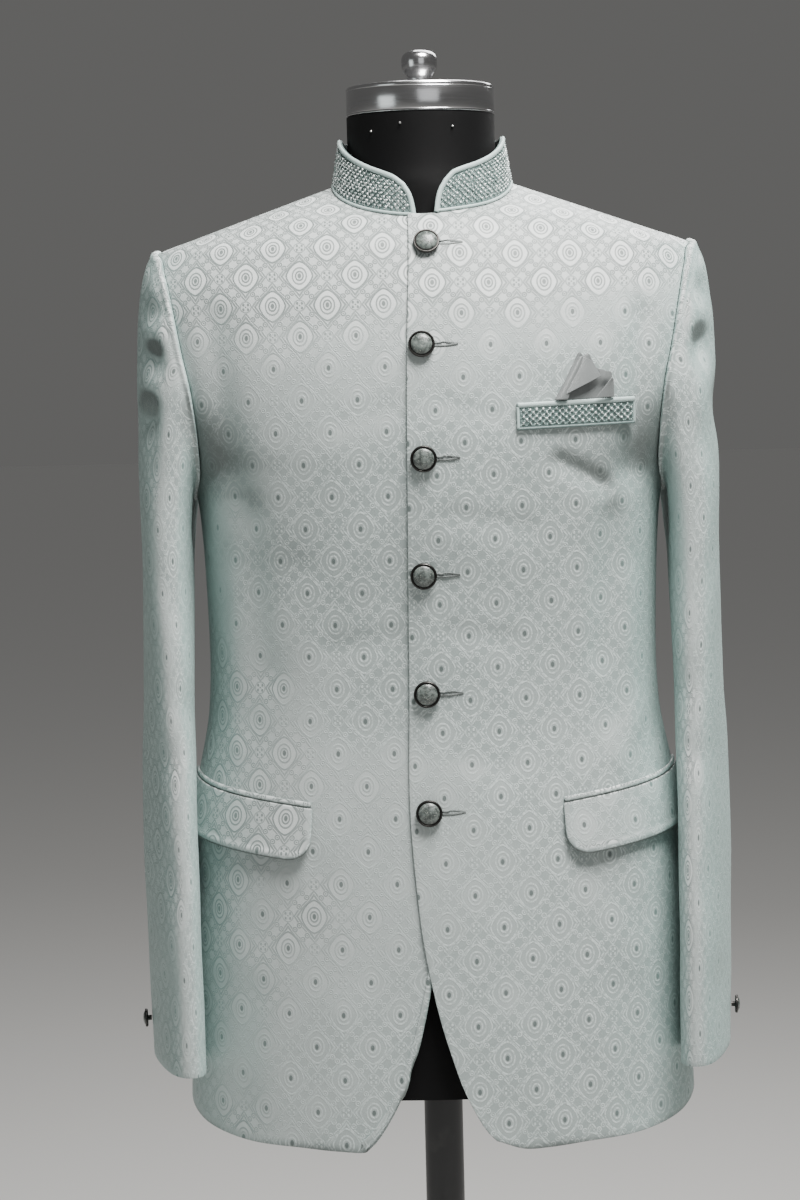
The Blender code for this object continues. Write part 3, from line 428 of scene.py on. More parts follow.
def brocadeMaterial(name, phaseAcross, phaseDown, shadeFrom=0.05, shadeFull=0.28, shadeAbove=-1.0):
    material, tree, shader = newMaterial(
        name, Sheen_Weight=0.08, Sheen_Roughness=0.4, Specular_IOR_Level=0.45)
    shader.inputs["Sheen Tint"].default_value = (0.80, 0.95, 0.92, 1)
    u, v, _ = splitPair(tree)
    across, down, look = brocade["across"], brocade["down"], brocade
    half, line, soft = across / 2, look["line"], look["softness"]
    x = abs(((u - phaseAcross) * (1000 / across) + 0.5).fract() - 0.5) * across
    y = abs(((v - phaseDown) * (500 / down) + 0.5).fract() - 0.5) * (2 * down)
    other = (x * (1 / half) + y * (1 / down)).above(1.0)  # nearer to a dot of the shifted rows
    x = x + other * (half - 2 * x)
    y = y + other * (down - 2 * y)
    ogee = x * (1 / half) + y * (1 / down)
    oval = (x * x + y * y * 0.62).root()
    barrel = ((x * (1 / look["barrelAcross"])) ** 1.5 + (y * (1 / look["barrelDown"])) ** 1.5) ** 0.667
    dot = 1 - (x * x * 0.42 + y * y * 0.19).root().step(0.75, 1.25)
    figure = oval.line(look["ringAt"][0], line * 0.8, soft).most(oval.line(look["ringAt"][1], line * 0.8, soft) * 0.9)
    figure = figure.most(barrel.line(1.0, line / 12, soft / 12))
    wavy = ogee + (y * (4 * math.pi / down)).cos() * 0.016
    figure = figure.most(wavy.line(look["ogeeAt"][0], line / 17, soft / 17) * 0.85)
    # curls in pairs on both sides of the line midway between two dots
    slant = math.hypot(half, down)
    run = abs(((x - half) * (-half / slant) + y * (down / slant)) - slant / 2)
    inward = (x * (down / slant) + y * (half / slant)) * -1 + half * down / slant
    curl = ((run - look["curlAt"]) ** 2 + (inward - look["curlIn"]) ** 2).root()
    figure = figure.most(curl.line(look["curlRadius"], line * 0.7, soft) * 0.9).most(1 - curl.step(0.35, 0.85))
    figure = figure.most((wavy.line(look["ogeeAt"][1], line / 19, soft / 17) * curl.step(2.4, 3.0)) * 0.8)
    # a floret where four repeats meet, at the side and at the top
    for cornerX, cornerY, petal in ((half - x, y, 1.9), (x, down - y, 2.1)):
        leaf = ((cornerX - petal) ** 2 + (cornerY - petal) ** 2 * 0.8).root()
        heart = (cornerX * cornerX + cornerY * cornerY).root()
        figure = figure.most(1 - leaf.step(0.75, 1.30)).most(heart.line(4.6, line * 0.6, soft) * 0.7)
        figure = figure.most(1 - heart.step(0.4, 0.9))
    # fine threads: a satin float in the figure, a plain weave in the ground
    weave = (u * (2 * math.pi / 0.00042)).sin() * (v * (2 * math.pi / 0.00050)).sin() * 0.5 + 0.5
    slub, patches = noise(tree, 1100.0, 2.0), noise(tree, 11.0, 2.0)
    normal = [ask(tree, "ShaderNodeSeparateXYZ", None, [ask(tree, "ShaderNodeNewGeometry", None, None, 1)], k) for k in (0, 2)]
    # painted sheen: a mask, high where the cloth faces up and towards the wearer's right and broken up by noise, swaps
    # the ground and lines between their two copies
    upSheen = (normal[1] * 1.6 - normal[0] * 0.42 + (patches - 0.5) * 0.5).step(-0.10, 0.52)
    # painted light by facing: one mask for cloth turned to the sides, for painted mint sheen, and one for cloth that
    # faces down, for painted shade and dark reflection, shown only above a given height up the cloth
    sideSheen, under = abs(normal[0]).step(0.30, 0.95), (normal[1] * -1).step(shadeFrom, shadeFull) * v.step(shadeAbove, shadeAbove + 0.05)
    ground = mixColour(tree, upSheen, look["groundFrontSheen"], look["groundUpSheen"])
    # the ovals' fill is the pattern's own, but it is painted stronger on cloth that faces up, a painted sheen
    ground = mixColour(tree, (1 - barrel.step(0.86, 0.98)) * (normal[1].step(0.02, 0.40) * 0.50 + 0.06), ground, look["fill"])
    # on cloth that faces forwards the figure shows as thin broken threads; where the painted sheen mask is high it
    # shows whole
    broken = noise(tree, 420.0, 2.0).step(0.40, 0.58)
    figure = figure * (upSheen + (1 - upSheen) * (broken * 0.62 + 0.26))
    strokes = mixColour(tree, upSheen, look["lineFrontSheen"], look["lineUpSheen"])
    colour = mixColour(tree, figure * (upSheen * 0.10 + 0.78), ground, strokes)
    colour = mixColour(tree, dot * 0.85, colour, look["dot"])
    # painted mint sheen on side-facing cloth
    colour = mixColour(tree, sideSheen * 0.40, colour, look["side"])
    colour = mixColour(tree, (slub - 0.42) * 0.5, colour, (0.24, 0.28, 0.275))
    # painted shade and dark reflection on down-facing cloth
    colour = mixColour(tree, under * 0.85, colour, look["under"])
    height = figure * 1.0 + weave * 0.22 + slub * 0.4 + dot * 0.5
    feed(tree, shader, Base_Color=colour, Roughness=0.42 - figure * 0.12 + weave * 0.05,
         Normal=bumpFrom(tree, height, 0.00022, 0.85))
    return material


def satinMaterial(name, colour, deep, roughness, threadSize=0.00035):
    material, tree, shader = newMaterial(
        name, Sheen_Weight=0.25, Sheen_Roughness=0.35, Specular_IOR_Level=0.5)
    place = [ask(tree, "ShaderNodeSeparateXYZ", None, [objectPlace(tree)], k) for k in (0, 1, 2)]
    rib = ((place[0] + place[2] + place[1]) * (2 * math.pi / threadSize)).sin() * 0.5 + 0.5
    cloudy = noise(tree, 60.0, 3.0)
    shade = mixColour(tree, cloudy, deep, colour)
    shade = mixColour(tree, rib * 0.18, shade, deep)
    feed(tree, shader, Base_Color=shade, Roughness=cloudy * 0.14 + roughness,
         Normal=bumpFrom(tree, rib * 0.4 + cloudy * 0.8, 0.00012, 0.6))
    return material


def beadMaterial(name, pale, dark):
    material, tree, shader = newMaterial(name, Coat_Weight=0.8, Coat_Roughness=0.06, Specular_IOR_Level=0.8)
    speck = noise(tree, 900.0, 1.0)
    pick = noise(tree, 420.0, 0.0)
    feed(tree, shader, Base_Color=mixColour(tree, pick.step(0.40, 0.62), dark, pale),
         Roughness=speck * 0.25 + 0.12, Metallic=pick.step(0.5, 0.7) * 0.45)
    return material


def stoneMaterial():
    material, tree, shader = newMaterial("button_stone", Coat_Weight=0.35, Coat_Roughness=0.2)
    mottled, fine = noise(tree, 330.0, 5.0), noise(tree, 1400.0, 3.0)
    shade = mixColour(tree, mottled.step(0.36, 0.66), (0.038, 0.047, 0.044), (0.125, 0.148, 0.138))
    shade = mixColour(tree, fine.step(0.58, 0.70) * 0.8, shade, (0.36, 0.37, 0.33))
    feed(tree, shader, Base_Color=shade, Roughness=mottled * 0.25 + 0.25,
         Normal=bumpFrom(tree, mottled + fine * 0.5, 0.0005, 0.7))
    return material


def metalMaterial(name, colour, roughness, scratch):
    material, tree, shader = newMaterial(name, Metallic=1.0)
    u = objectPlace(tree)
    streak = ask(tree, "ShaderNodeTexNoise", None, {
        "Scale": 1.0, "Detail": 3.0,
        "Vector": ask(tree, "ShaderNodeMapping", None, {"Vector": u, "Scale": (30, 30, scratch)})})
    smudge = noise(tree, 45.0, 3.0)
    feed(tree, shader,
         Base_Color=mixColour(tree, smudge * 0.35, colour, tuple(c * 0.72 for c in colour)),
         Roughness=streak * 0.16 + smudge * 0.08 + roughness,
         Normal=bumpFrom(tree, streak, 0.00006, 0.4))
    return material


def coverMaterial():
    material, tree, shader = newMaterial("form_cover", Sheen_Weight=0.02, Specular_IOR_Level=0.12)
    place = [ask(tree, "ShaderNodeSeparateXYZ", None, [objectPlace(tree)], k) for k in (0, 1, 2)]
    knit = ((place[0] + place[1] * 0.6) * (2 * math.pi / 0.0011)).sin() * (place[2] * (2 * math.pi / 0.0009)).sin()
    lint = noise(tree, 700.0, 2.0).step(0.70, 0.78)
    feed(tree, shader,
         Base_Color=mixColour(tree, lint * 0.5, (0.0025, 0.0025, 0.0028), (0.022, 0.022, 0.023)),
         Roughness=noise(tree, 30.0) * 0.2 + 0.50,
         Normal=bumpFrom(tree, knit, 0.00012, 0.5))
    return material


def paintMaterial():
    material, tree, shader = newMaterial("stand_paint", Coat_Weight=0.15, Coat_Roughness=0.3)
    peel, scuff = noise(tree, 500.0, 2.0), noise(tree, 24.0, 6.0)
    feed(tree, shader,
         Base_Color=mixColour(tree, scuff.step(0.60, 0.75) * 0.5, (0.010, 0.010, 0.011), (0.045, 0.044, 0.043)),
         Roughness=scuff * 0.25 + 0.32, Normal=bumpFrom(tree, peel, 0.00008, 0.5))
    return material


def threadMaterial(name, colour):
    material, tree, shader = newMaterial(name, Sheen_Weight=0.3)
    twist = noise(tree, 2600.0, 1.0)
    feed(tree, shader, Base_Color=mixColour(tree, twist, colour, tuple(c * 0.55 for c in colour)),
         Roughness=twist * 0.2 + 0.45, Normal=bumpFrom(tree, twist, 0.0002, 0.6))
    return material


leftBrocade = brocadeMaterial("brocade_left", 0.050, 0.857)
rightBrocade = brocadeMaterial("brocade_right", -0.056, 0.867)
backBrocade = brocadeMaterial("brocade_back", 0.0224, 0.860)
# the sleeve's last three numbers set its painted shade and dark reflection on down-facing cloth, shown only above 0.5 m
# up the sleeve
sleeveBrocade = brocadeMaterial("brocade_sleeve", 0.0, 0.0, -0.02, 0.15, 0.50)
pipingSatin = satinMaterial("mint_piping_satin", (0.50, 0.605, 0.588), (0.34, 0.44, 0.425), 0.30)
bandSatin = satinMaterial("band_ground_satin", (0.17, 0.235, 0.225), (0.09, 0.135, 0.13), 0.40)
greySatin = satinMaterial("grey_square_satin", (0.23, 0.245, 0.245), (0.11, 0.12, 0.12), 0.24)
silverBeads = beadMaterial("silver_beads", (0.74, 0.79, 0.78), (0.15, 0.20, 0.19))
mintBeads = beadMaterial("mint_beads", (0.62, 0.77, 0.74), (0.15, 0.23, 0.215))
stone = stoneMaterial()
rimMetal = metalMaterial("button_rim_metal", (0.055, 0.053, 0.051), 0.24, 600)
capChrome = metalMaterial("cap_chrome_polished", (0.62, 0.62, 0.63), 0.07, 1400)
cover = coverMaterial()
standPaint = paintMaterial()
holeThread = threadMaterial("buttonhole_thread", (0.20, 0.225, 0.22))
lightThread = threadMaterial("light_thread", (0.55, 0.62, 0.60))
pinMetal = metalMaterial("pin_metal", (0.75, 0.74, 0.72), 0.2, 300)
print("materials made")


# Fronts and backs

panels = {
    "sideRows": 9, "armholeRows": 9, "rowCrowding": 0.5,
    "neckColumns": {"front": 7, "back": 5}, "shoulderColumns": 5,
    "finer": 8, "sideSeamAngle": 95.0, "chestSplitZ": 1.150, "backHemZ": 0.6950,
}
armhole = {
    "front": [(90.0, 1.400), (72.0, 1.393), (61.5, 1.376), (56.5, 1.352), (55.0, 1.315),
              (55.0, 1.280), (60.5, 1.243), (69.0, 1.216), (81.0, 1.201), (95.0, 1.195)],
    "back": [(90.0, 1.400), (107.0, 1.393), (117.5, 1.376), (122.5, 1.352), (125.0, 1.315),
             (125.0, 1.280), (120.0, 1.243), (112.0, 1.216), (103.0, 1.201), (95.0, 1.195)],
}
frontEdge = {
    "z": [0.690, 0.700, 0.729, 0.755, 0.786, 0.824, 0.865, 0.950, 1.040, 1.180, 1.300, 1.390, 1.422],
    "left": [0.0400, 0.0310, 0.0160, 0.0070, -0.0020, -0.0100, -0.0160, -0.0220, -0.0205, -0.0185,
             -0.0165, -0.0130, -0.0126],
    "right": [-0.0665, -0.0560, -0.0380, -0.0280, -0.0190, -0.0105, -0.0050, 0.0060, 0.0090, 0.0100,
              0.0100, 0.0100, 0.0100],
}
hemPoints = [(15.5, 0.6825), (21.0, 0.6825), (30.0, 0.6845), (45.0, 0.6860),
             (62.0, 0.6915), (80.0, 0.6990), (95.0, 0.7020)]


def neckSeam(turn):
    turn = np.asarray(turn, float)
    rise = 1 - np.cos(np.radians(turn))
    front = rise < 1
    z = np.where(front, lerp(neck["frontZ"], neck["sideZ"], rise), lerp(neck["sideZ"], neck["backZ"], rise - 1))
    x = neck["halfWidth"] * np.sin(np.radians(np.abs(turn)))
    angle = np.degrees(np.arcsin(np.minimum(x / torsoSize("halfWidth", z), 1.0)))
    return np.stack([np.copysign(np.where(front, angle, 180 - angle), turn), z], axis=-1)


def crowded(t):
    return t + panels["rowCrowding"] * (t - t * t)


def armholeEdge(side, t):
    return placeAlong(armhole[side][::-1], crowded(t), torsoPoint)


def sideShare():
    return panels["sideRows"] / (panels["sideRows"] + panels["armholeRows"])


def edgeRow(t, low, high):
    share, split = sideShare(), panels["chestSplitZ"]
    return np.where(t < share, lerp(low, split, t / share), lerp(split, high, crowded((t - share) / (1 - share))))


def seamEdge(t, side):
    share = sideShare()
    straight = np.stack([np.full(t.shape, panels["sideSeamAngle"]), lerp(hemPoints[-1][1], armhole[side][-1][1], t / share)], -1)
    curved = armholeEdge(side, np.clip((t - share) / (1 - share), 0, 1))
    return np.where((t < share)[:, None], straight, curved)


def topEdge(s, side, startTurn):
    share = panels["neckColumns"][side] / (panels["neckColumns"][side] + panels["shoulderColumns"])
    seam = neckSeam(lerp(startTurn, 90.0, np.clip(s / share, 0, 1)))
    shoulder = np.stack([np.full(s.shape, 90.0), lerp(neck["sideZ"], armhole[side][0][1], (s - share) / (1 - share))], -1)
    return np.where((s < share)[:, None], seam, shoulder)


def laidFlat(edge, centre):
    def flat(t):
        place = edge(np.asarray(t, float))
        z = place[:, 1]
        return np.stack([girthAt(place[:, 0], z) - girthAt(np.full(z.shape, centre), z), z], axis=-1)
    return flat


def frontFrame(side, sign):
    def xAt(z):
        return sign * smoothRead(frontEdge["z"], frontEdge[side], z)
    startTurn = math.degrees(math.asin(xAt(neck["frontZ"]) / neck["halfWidth"]))
    cornerZ = frontEdge["z"][0]
    corner = (float(angleAtX(xAt(cornerZ), cornerZ)), cornerZ)

    def left(t):
        z = edgeRow(t, cornerZ, neck["frontZ"] if False else neckSeam(startTurn)[1])
        return np.stack([angleAtX(xAt(z), z), z], axis=-1)
    edges = (lambda s: placeAlong([corner, *hemPoints], s, torsoPoint),
             lambda s: topEdge(s, "front", startTurn), left, lambda t: seamEdge(t, "front"))
    return [laidFlat(edge, 0.0) for edge in edges]


def backFrame():
    def left(t):
        return np.stack([np.full(t.shape, 180.0), edgeRow(t, panels["backHemZ"], neck["backZ"])], axis=-1)

    def bottom(s):
        return np.stack([lerp(180.0, panels["sideSeamAngle"], s), lerp(panels["backHemZ"], hemPoints[-1][1], s)], -1)
    edges = (bottom, lambda s: topEdge(s, "back", 180.0), left, lambda t: seamEdge(t, "back"))
    return [laidFlat(edge, 180.0) for edge in edges]


# Soft troughs (minus) and ridges: start and end by length from the centre line and height
frontFolds = {
    "left": [
        dict(start=(0.105, 1.222), end=(0.142, 1.203), width=0.009, depth=-0.0020),
        dict(start=(0.178, 1.335), end=(0.170, 1.215), width=0.016, depth=-0.0030),
        dict(start=(0.150, 1.175), end=(0.138, 1.070), width=0.016, depth=-0.0024),
        dict(start=(0.172, 1.120), end=(0.168, 1.010), width=0.013, depth=0.0016),
        dict(start=(0.178, 1.020), end=(0.150, 0.985), width=0.014, depth=0.0018),
        dict(start=(0.120, 0.905), end=(0.165, 0.860), width=0.020, depth=-0.0014),
        dict(start=(0.055, 1.365), end=(0.120, 1.335), width=0.016, depth=-0.0007),
        dict(start=(0.012, 1.272), end=(0.050, 1.262), width=0.009, depth=-0.0008),
        dict(start=(0.014, 1.090), end=(0.060, 1.082), width=0.009, depth=-0.0009),
        dict(start=(0.016, 1.182), end=(0.075, 1.172), width=0.010, depth=-0.0007),
        dict(start=(0.012, 0.990), end=(0.052, 0.984), width=0.009, depth=-0.0007),
        dict(start=(0.060, 0.780), end=(0.085, 0.700), width=0.022, depth=0.0016),
        dict(start=(0.150, 0.800), end=(0.160, 0.710), width=0.020, depth=-0.0018),
    ],
    "right": [
        dict(start=(0.178, 1.340), end=(0.165, 1.200), width=0.020, depth=-0.0034),
        dict(start=(0.150, 1.180), end=(0.142, 1.060), width=0.016, depth=-0.0024),
        dict(start=(0.172, 1.125), end=(0.170, 1.000), width=0.014, depth=0.0017),
        dict(start=(0.110, 1.140), end=(0.128, 1.060), width=0.018, depth=-0.0012),
        dict(start=(0.045, 1.360), end=(0.110, 1.330), width=0.016, depth=-0.0008),
        dict(start=(0.030, 1.270), end=(0.070, 1.258), width=0.010, depth=-0.0008),
        dict(start=(0.030, 1.085), end=(0.080, 1.078), width=0.010, depth=-0.0009),
        dict(start=(0.100, 0.900), end=(0.150, 0.850), width=0.020, depth=-0.0015),
        dict(start=(0.080, 0.790), end=(0.095, 0.700), width=0.022, depth=0.0015),
        dict(start=(0.160, 0.800), end=(0.170, 0.715), width=0.020, depth=-0.0018),
    ],
}
backFolds = [
    dict(start=(0.150, 1.180), end=(0.140, 1.040), width=0.017, depth=-0.0022),
    dict(start=(0.080, 1.060), end=(0.130, 1.030), width=0.018, depth=-0.0018),
    dict(start=(0.050, 1.020), end=(0.110, 0.995), width=0.017, depth=-0.0014),
    dict(start=(0.100, 1.330), end=(0.150, 1.270), width=0.018, depth=-0.0013),
    dict(start=(0.060, 0.880), end=(0.050, 0.720), width=0.026, depth=0.0018),
    dict(start=(0.140, 0.860), end=(0.150, 0.720), width=0.024, depth=-0.0020),
]


def foldDepth(folds, across, up):
    total = np.zeros(np.shape(across))
    for fold in folds:
        (x0, z0), (x1, z1) = fold["start"], fold["end"]
        dx, dz = x1 - x0, z1 - z0
        share = np.clip(((across - x0) * dx + (up - z0) * dz) / (dx * dx + dz * dz), 0, 1)
        away = np.hypot(across - x0 - share * dx, up - z0 - share * dz)
        total += fold["depth"] * np.exp(-(away / fold["width"]) ** 2)
    return total


arcGirth, arcZ = np.linspace(-0.06, 0.34, 41), np.linspace(1.18, 1.451, 80)


def arcTable(centre):
    z = arcZ[None, :].repeat(len(arcGirth), 0)
    full = arcGirth[:, None] + girthAt(np.full(z.shape, centre), z)
    points = torsoPoint(np.clip(angleFor(full, z), -180, 360), z)
    steps = np.minimum(np.linalg.norm(np.diff(points, axis=1), axis=-1), 0.012)
    return arcZ[0] + np.concatenate([np.zeros((len(arcGirth), 1)), np.cumsum(steps, axis=1)], axis=1)


def upCloth(table, girth, z):
    # the height of a place measured up the cloth, so that the pattern isn't squeezed on the shoulder
    a = np.clip((girth - arcGirth[0]) / (arcGirth[1] - arcGirth[0]), 0, len(arcGirth) - 1.001)
    b = np.clip((z - arcZ[0]) / (arcZ[1] - arcZ[0]), 0, len(arcZ) - 1.001)
    i, j = a.astype(int), b.astype(int)
    p, q = a - i, b - j
    value = lerp(lerp(table[i, j], table[i + 1, j], p), lerp(table[i, j + 1], table[i + 1, j + 1], p), q)
    return np.where(z < arcZ[0], z, value)


def panelGrid(edges, centre, side, lap, folds, rows=None):
    columns = (panels["neckColumns"][side] + panels["shoulderColumns"]) * panels["finer"]
    rows = (panels["sideRows"] + panels["armholeRows"]) * panels["finer"]
    s, t = np.linspace(0, 1, columns + 1), np.linspace(0, 1, rows + 1)
    flat = fillEdges(edges, s, t)
    girth, z = flat[..., 0], flat[..., 1]
    angle = angleFor(girth + girthAt(np.full(z.shape, centre), z), z)
    edgeFade = softStep(np.minimum(np.minimum(s, 1 - s)[None, :] * 9, (1 - t)[:, None] * 12))
    ripple = 0.00035 * np.sin(girth * 61 + z * 23) * np.sin(z * 37 - girth * 18 + 1.0)
    out = lap(torsoPoint(angle, z)[..., 0]) + (foldDepth(folds, np.abs(girth), z) + ripple) * edgeFade
    grid = offTorso(angle, z, out)
    uv = np.stack([girth, upCloth(arcTable(centre), girth, z)], axis=-1)
    return grid, uv


def drawIn(grid, gap, first=False, last=False, top=False):
    if first:
        grid[:, 0] += unit(grid[:, 1] - grid[:, 0]) * gap
    if last:
        grid[:, -1] += unit(grid[:, -2] - grid[:, -1]) * gap
    if top:
        grid[-1] += unit(grid[-2] - grid[-1]) * gap
    return grid


def finish(piece, nodes, slot, extra=()):
    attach(piece, "root")
    for one in extra:
        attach(one, "root")
    if nodes:
        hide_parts(*nodes)


for side, sign, material in (("left", 1, leftBrocade), ("right", -1, rightBrocade)):
    lap = lapOut if sign > 0 else (lambda x: np.zeros(np.shape(x)))
    grid, uv = panelGrid(frontFrame(side, sign), 0.0, "front", lap, frontFolds[side])
    drawIn(grid, cloth["seamGap"] / 2, last=True, top=True)
    if sign < 0:
        grid, uv = mirrorX(grid), uv[:, ::-1] * np.array([-1.0, 1.0])
    piece = gridMesh(f"jacket_front_{side}", grid, uv, material)
    thicken(piece, cloth["wall"], edge=0.0007)
    finish(piece, [f"front_{side}"], "brocade")
print("fronts made")

backGrid, backUv = panelGrid(backFrame(), 180.0, "back", lambda x: np.zeros(np.shape(x)), backFolds)
drawIn(backGrid, cloth["seamGap"] / 2, first=True, last=True, top=True)
left, leftUv = backGrid[:, ::-1], backUv[:, ::-1]
for side in ("left", "right"):
    grid, uv = (left, leftUv) if side == "left" else (mirrorX(left), leftUv[:, ::-1] * np.array([-1.0, 1.0]))
    piece = gridMesh(f"jacket_back_{side}", grid, uv, backBrocade)
    thicken(piece, cloth["wall"], edge=0.0007)
    finish(piece, [f"back_{side}"], "brocade")
print("backs made")


# Sleeves

sleeve = {
    "z": [0.742, 0.850, 0.940, 1.020, 1.130],
    "centreX": [0.2135, 0.2170, 0.2195, 0.2195, 0.2180],
    "centreY": [-0.064, -0.051, -0.035, -0.019, -0.006],
    "halfThick": [0.0165, 0.0168, 0.0174, 0.0190, 0.0212],
    "halfDepth": [0.0580, 0.0620, 0.0655, 0.0690, 0.0730],
    "turn": [16.0, 16.0, 15.0, 11.0, 5.0],
    "squareness": 0.04, "gap": 0.0003, "startReach": 0.32, "endReach": 0.90,
    "headRise": 0.25, "headSpread": 0.60, "headRows": 6, "armRows": 9, "finer": 9, "sides": 96,
}
# turn round the sleeve, height, half sizes in degrees and metres, slant in degrees a metre, depth
sleeveDents = {
    "left": [
        dict(turn=44, z=1.358, halfTurn=24, halfHeight=0.014, slant=0, depth=0.0050),
        dict(turn=60, z=1.312, halfTurn=27, halfHeight=0.019, slant=300, depth=0.0080),
        dict(turn=6, z=1.262, halfTurn=50, halfHeight=0.024, slant=0, depth=0.0050),
        dict(turn=70, z=1.235, halfTurn=30, halfHeight=0.022, slant=-400, depth=0.0030),
        dict(turn=60, z=1.130, halfTurn=26, halfHeight=0.030, slant=600, depth=0.0016),
        dict(turn=100, z=1.040, halfTurn=30, halfHeight=0.020, slant=500, depth=0.0020),
        dict(turn=80, z=0.985, halfTurn=34, halfHeight=0.014, slant=-700, depth=0.0018),
        dict(turn=300, z=1.030, halfTurn=34, halfHeight=0.018, slant=300, depth=0.0022),
        dict(turn=280, z=0.970, halfTurn=30, halfHeight=0.016, slant=300, depth=0.0016),
        dict(turn=60, z=0.880, halfTurn=22, halfHeight=0.026, slant=200, depth=0.0014),
        dict(turn=320, z=1.260, halfTurn=30, halfHeight=0.024, slant=0, depth=0.0028),
        dict(turn=20, z=0.800, halfTurn=26, halfHeight=0.020, slant=0, depth=0.0012),
    ],
    "right": [
        dict(turn=56, z=1.350, halfTurn=22, halfHeight=0.013, slant=0, depth=0.0050),
        dict(turn=64, z=1.311, halfTurn=26, halfHeight=0.016, slant=300, depth=0.0072),
        dict(turn=54, z=1.263, halfTurn=28, halfHeight=0.020, slant=-200, depth=0.0085),
        dict(turn=62, z=1.230, halfTurn=30, halfHeight=0.024, slant=0, depth=0.0030),
        dict(turn=90, z=1.120, halfTurn=26, halfHeight=0.028, slant=500, depth=0.0016),
        dict(turn=110, z=1.030, halfTurn=30, halfHeight=0.019, slant=600, depth=0.0022),
        dict(turn=70, z=0.990, halfTurn=34, halfHeight=0.015, slant=-600, depth=0.0018),
        dict(turn=290, z=1.020, halfTurn=34, halfHeight=0.018, slant=300, depth=0.0022),
        dict(turn=50, z=0.900, halfTurn=24, halfHeight=0.024, slant=300, depth=0.0014),
        dict(turn=315, z=1.250, halfTurn=30, halfHeight=0.024, slant=0, depth=0.0028),
        dict(turn=30, z=0.810, halfTurn=26, halfHeight=0.020, slant=0, depth=0.0012),
    ],
}


def sleeveSection(turn, z):
    a = np.radians(turn)
    size = {name: smoothRead(sleeve["z"], sleeve[name], z) for name in ("centreX", "centreY", "halfThick", "halfDepth", "turn")}
    square = sleeve["squareness"]
    depth = size["halfDepth"] * (np.sin(a) + square * np.sin(3 * a)) / (1 - square)
    thick = -size["halfThick"] * (np.cos(a) - square * np.cos(3 * a)) / (1 - square)
    swing = np.radians(size["turn"])
    x = size["centreX"] - thick * np.cos(swing) - depth * np.sin(swing)
    y = size["centreY"] + thick * np.sin(swing) - depth * np.cos(swing)
    return np.stack([x, y, np.broadcast_to(z, np.shape(x))], axis=-1)


def armholeRing(turn):
    front = armholeEdge("front", np.clip(1 - turn / 180, 0, 1))
    back = armholeEdge("back", np.clip(turn / 180 - 1, 0, 1))
    place = np.where((turn <= 180)[:, None], front, back)
    return torsoPoint(place[:, 0], place[:, 1])


def sleevePlace(turn, row):
    turn = np.mod(turn, 360.0)
    if row > sleeve["headRows"]:
        return sleeveSection(turn, lerp(sleeve["z"][-1], sleeve["z"][0], (row - sleeve["headRows"]) / sleeve["armRows"]))
    a = np.radians(turn)
    topZ = sleeve["z"][-1]
    start, end = armholeRing(turn), sleeveSection(turn, topZ)
    length = np.linalg.norm(end - start, axis=-1, keepdims=True)
    out = unit(np.stack([np.ones(a.shape), -sleeve["headSpread"] * np.sin(a), sleeve["headRise"] * np.cos(a)], -1))
    down = unit(sleeveSection(turn, topZ - 0.01) - end)
    start = start + out * sleeve["gap"]
    v = row / sleeve["headRows"]
    return (start * (2 * v**3 - 3 * v**2 + 1) + out * (length * sleeve["startReach"] * (v**3 - 2 * v**2 + v))
            + end * (3 * v**2 - 2 * v**3) + down * (length * sleeve["endReach"] * (v**3 - v**2)))


def sleeveNormal(turn, row):
    last = sleeve["headRows"] + sleeve["armRows"]
    roundIt = sleevePlace(turn + 1, row) - sleevePlace(turn - 1, row)
    downIt = sleevePlace(turn, min(row + 0.02, last)) - sleevePlace(turn, max(row - 0.02, 0.0))
    return unit(np.cross(roundIt, downIt))


def dentDepth(dents, turn, z):
    total = np.zeros(turn.shape)
    for dent in dents:
        away = np.mod(turn - dent["turn"] + (z - dent["z"]) * dent["slant"] + 180, 360) - 180
        total += dent["depth"] * np.exp(-(away / dent["halfTurn"]) ** 2 - ((z - dent["z"]) / dent["halfHeight"]) ** 2)
    return total


def sleeveGrid(dents):
    turns = np.arange(sleeve["sides"]) * 360.0 / sleeve["sides"]
    rowCount = (sleeve["headRows"] + sleeve["armRows"]) * sleeve["finer"]
    grid = []
    for k in range(rowCount + 1):
        row = k / sleeve["finer"]
        place, normal = sleevePlace(turns, row), sleeveNormal(turns, row)
        dent = dentDepth(dents, turns, place[:, 2])
        roll = 0.0022 * math.exp(-((row - 0.30) / 0.22) ** 2)  # the smooth roll of the sleeve head beside its seam
        ripple = 0.0004 * np.sin(np.radians(turns) * 2 + row * 1.7) * np.sin(row * 1.1 + 0.5)
        fade = min(row / 0.6, 1.0)
        if row == 0:
            normal = sleeveNormal(turns, 0.02)
        grid.append(place - normal * ((dent + ripple) * fade - roll * (row > 0))[:, None])
    grid = np.array(grid)
    ring = grid[sleeve["headRows"] * sleeve["finer"]]
    girth = np.linalg.norm(np.roll(ring, -1, 0) - ring, axis=1).sum()
    steps = np.linalg.norm(np.diff(grid, axis=0), axis=-1)
    down = np.concatenate([np.zeros((1, steps.shape[1])), np.cumsum(steps, axis=0)])
    down = down - down[-1:]  # zero at the cuff, so that the cuff's repeat runs level
    down = np.concatenate([down, down[:, :1]], axis=1)
    across = np.linspace(0, girth, sleeve["sides"] + 1)[None, :].repeat(len(grid), 0)
    return grid, np.stack([across, -down], axis=-1)


for side, sign in (("left", 1), ("right", -1)):
    grid, uv = sleeveGrid(sleeveDents[side])
    if sign < 0:
        grid = grid * np.array([-1.0, 1.0, 1.0])
    piece = gridMesh(f"jacket_sleeve_{side}", grid, uv, sleeveBrocade, ring=True, flip=sign < 0)
    thicken(piece, cloth["wall"], edge=0.0007)
    finish(piece, [f"sleeve_{side}"], "brocade")
print("sleeves made")


# Repeats by geometry nodes: beads or stitches strung at even steps along every line of a mesh

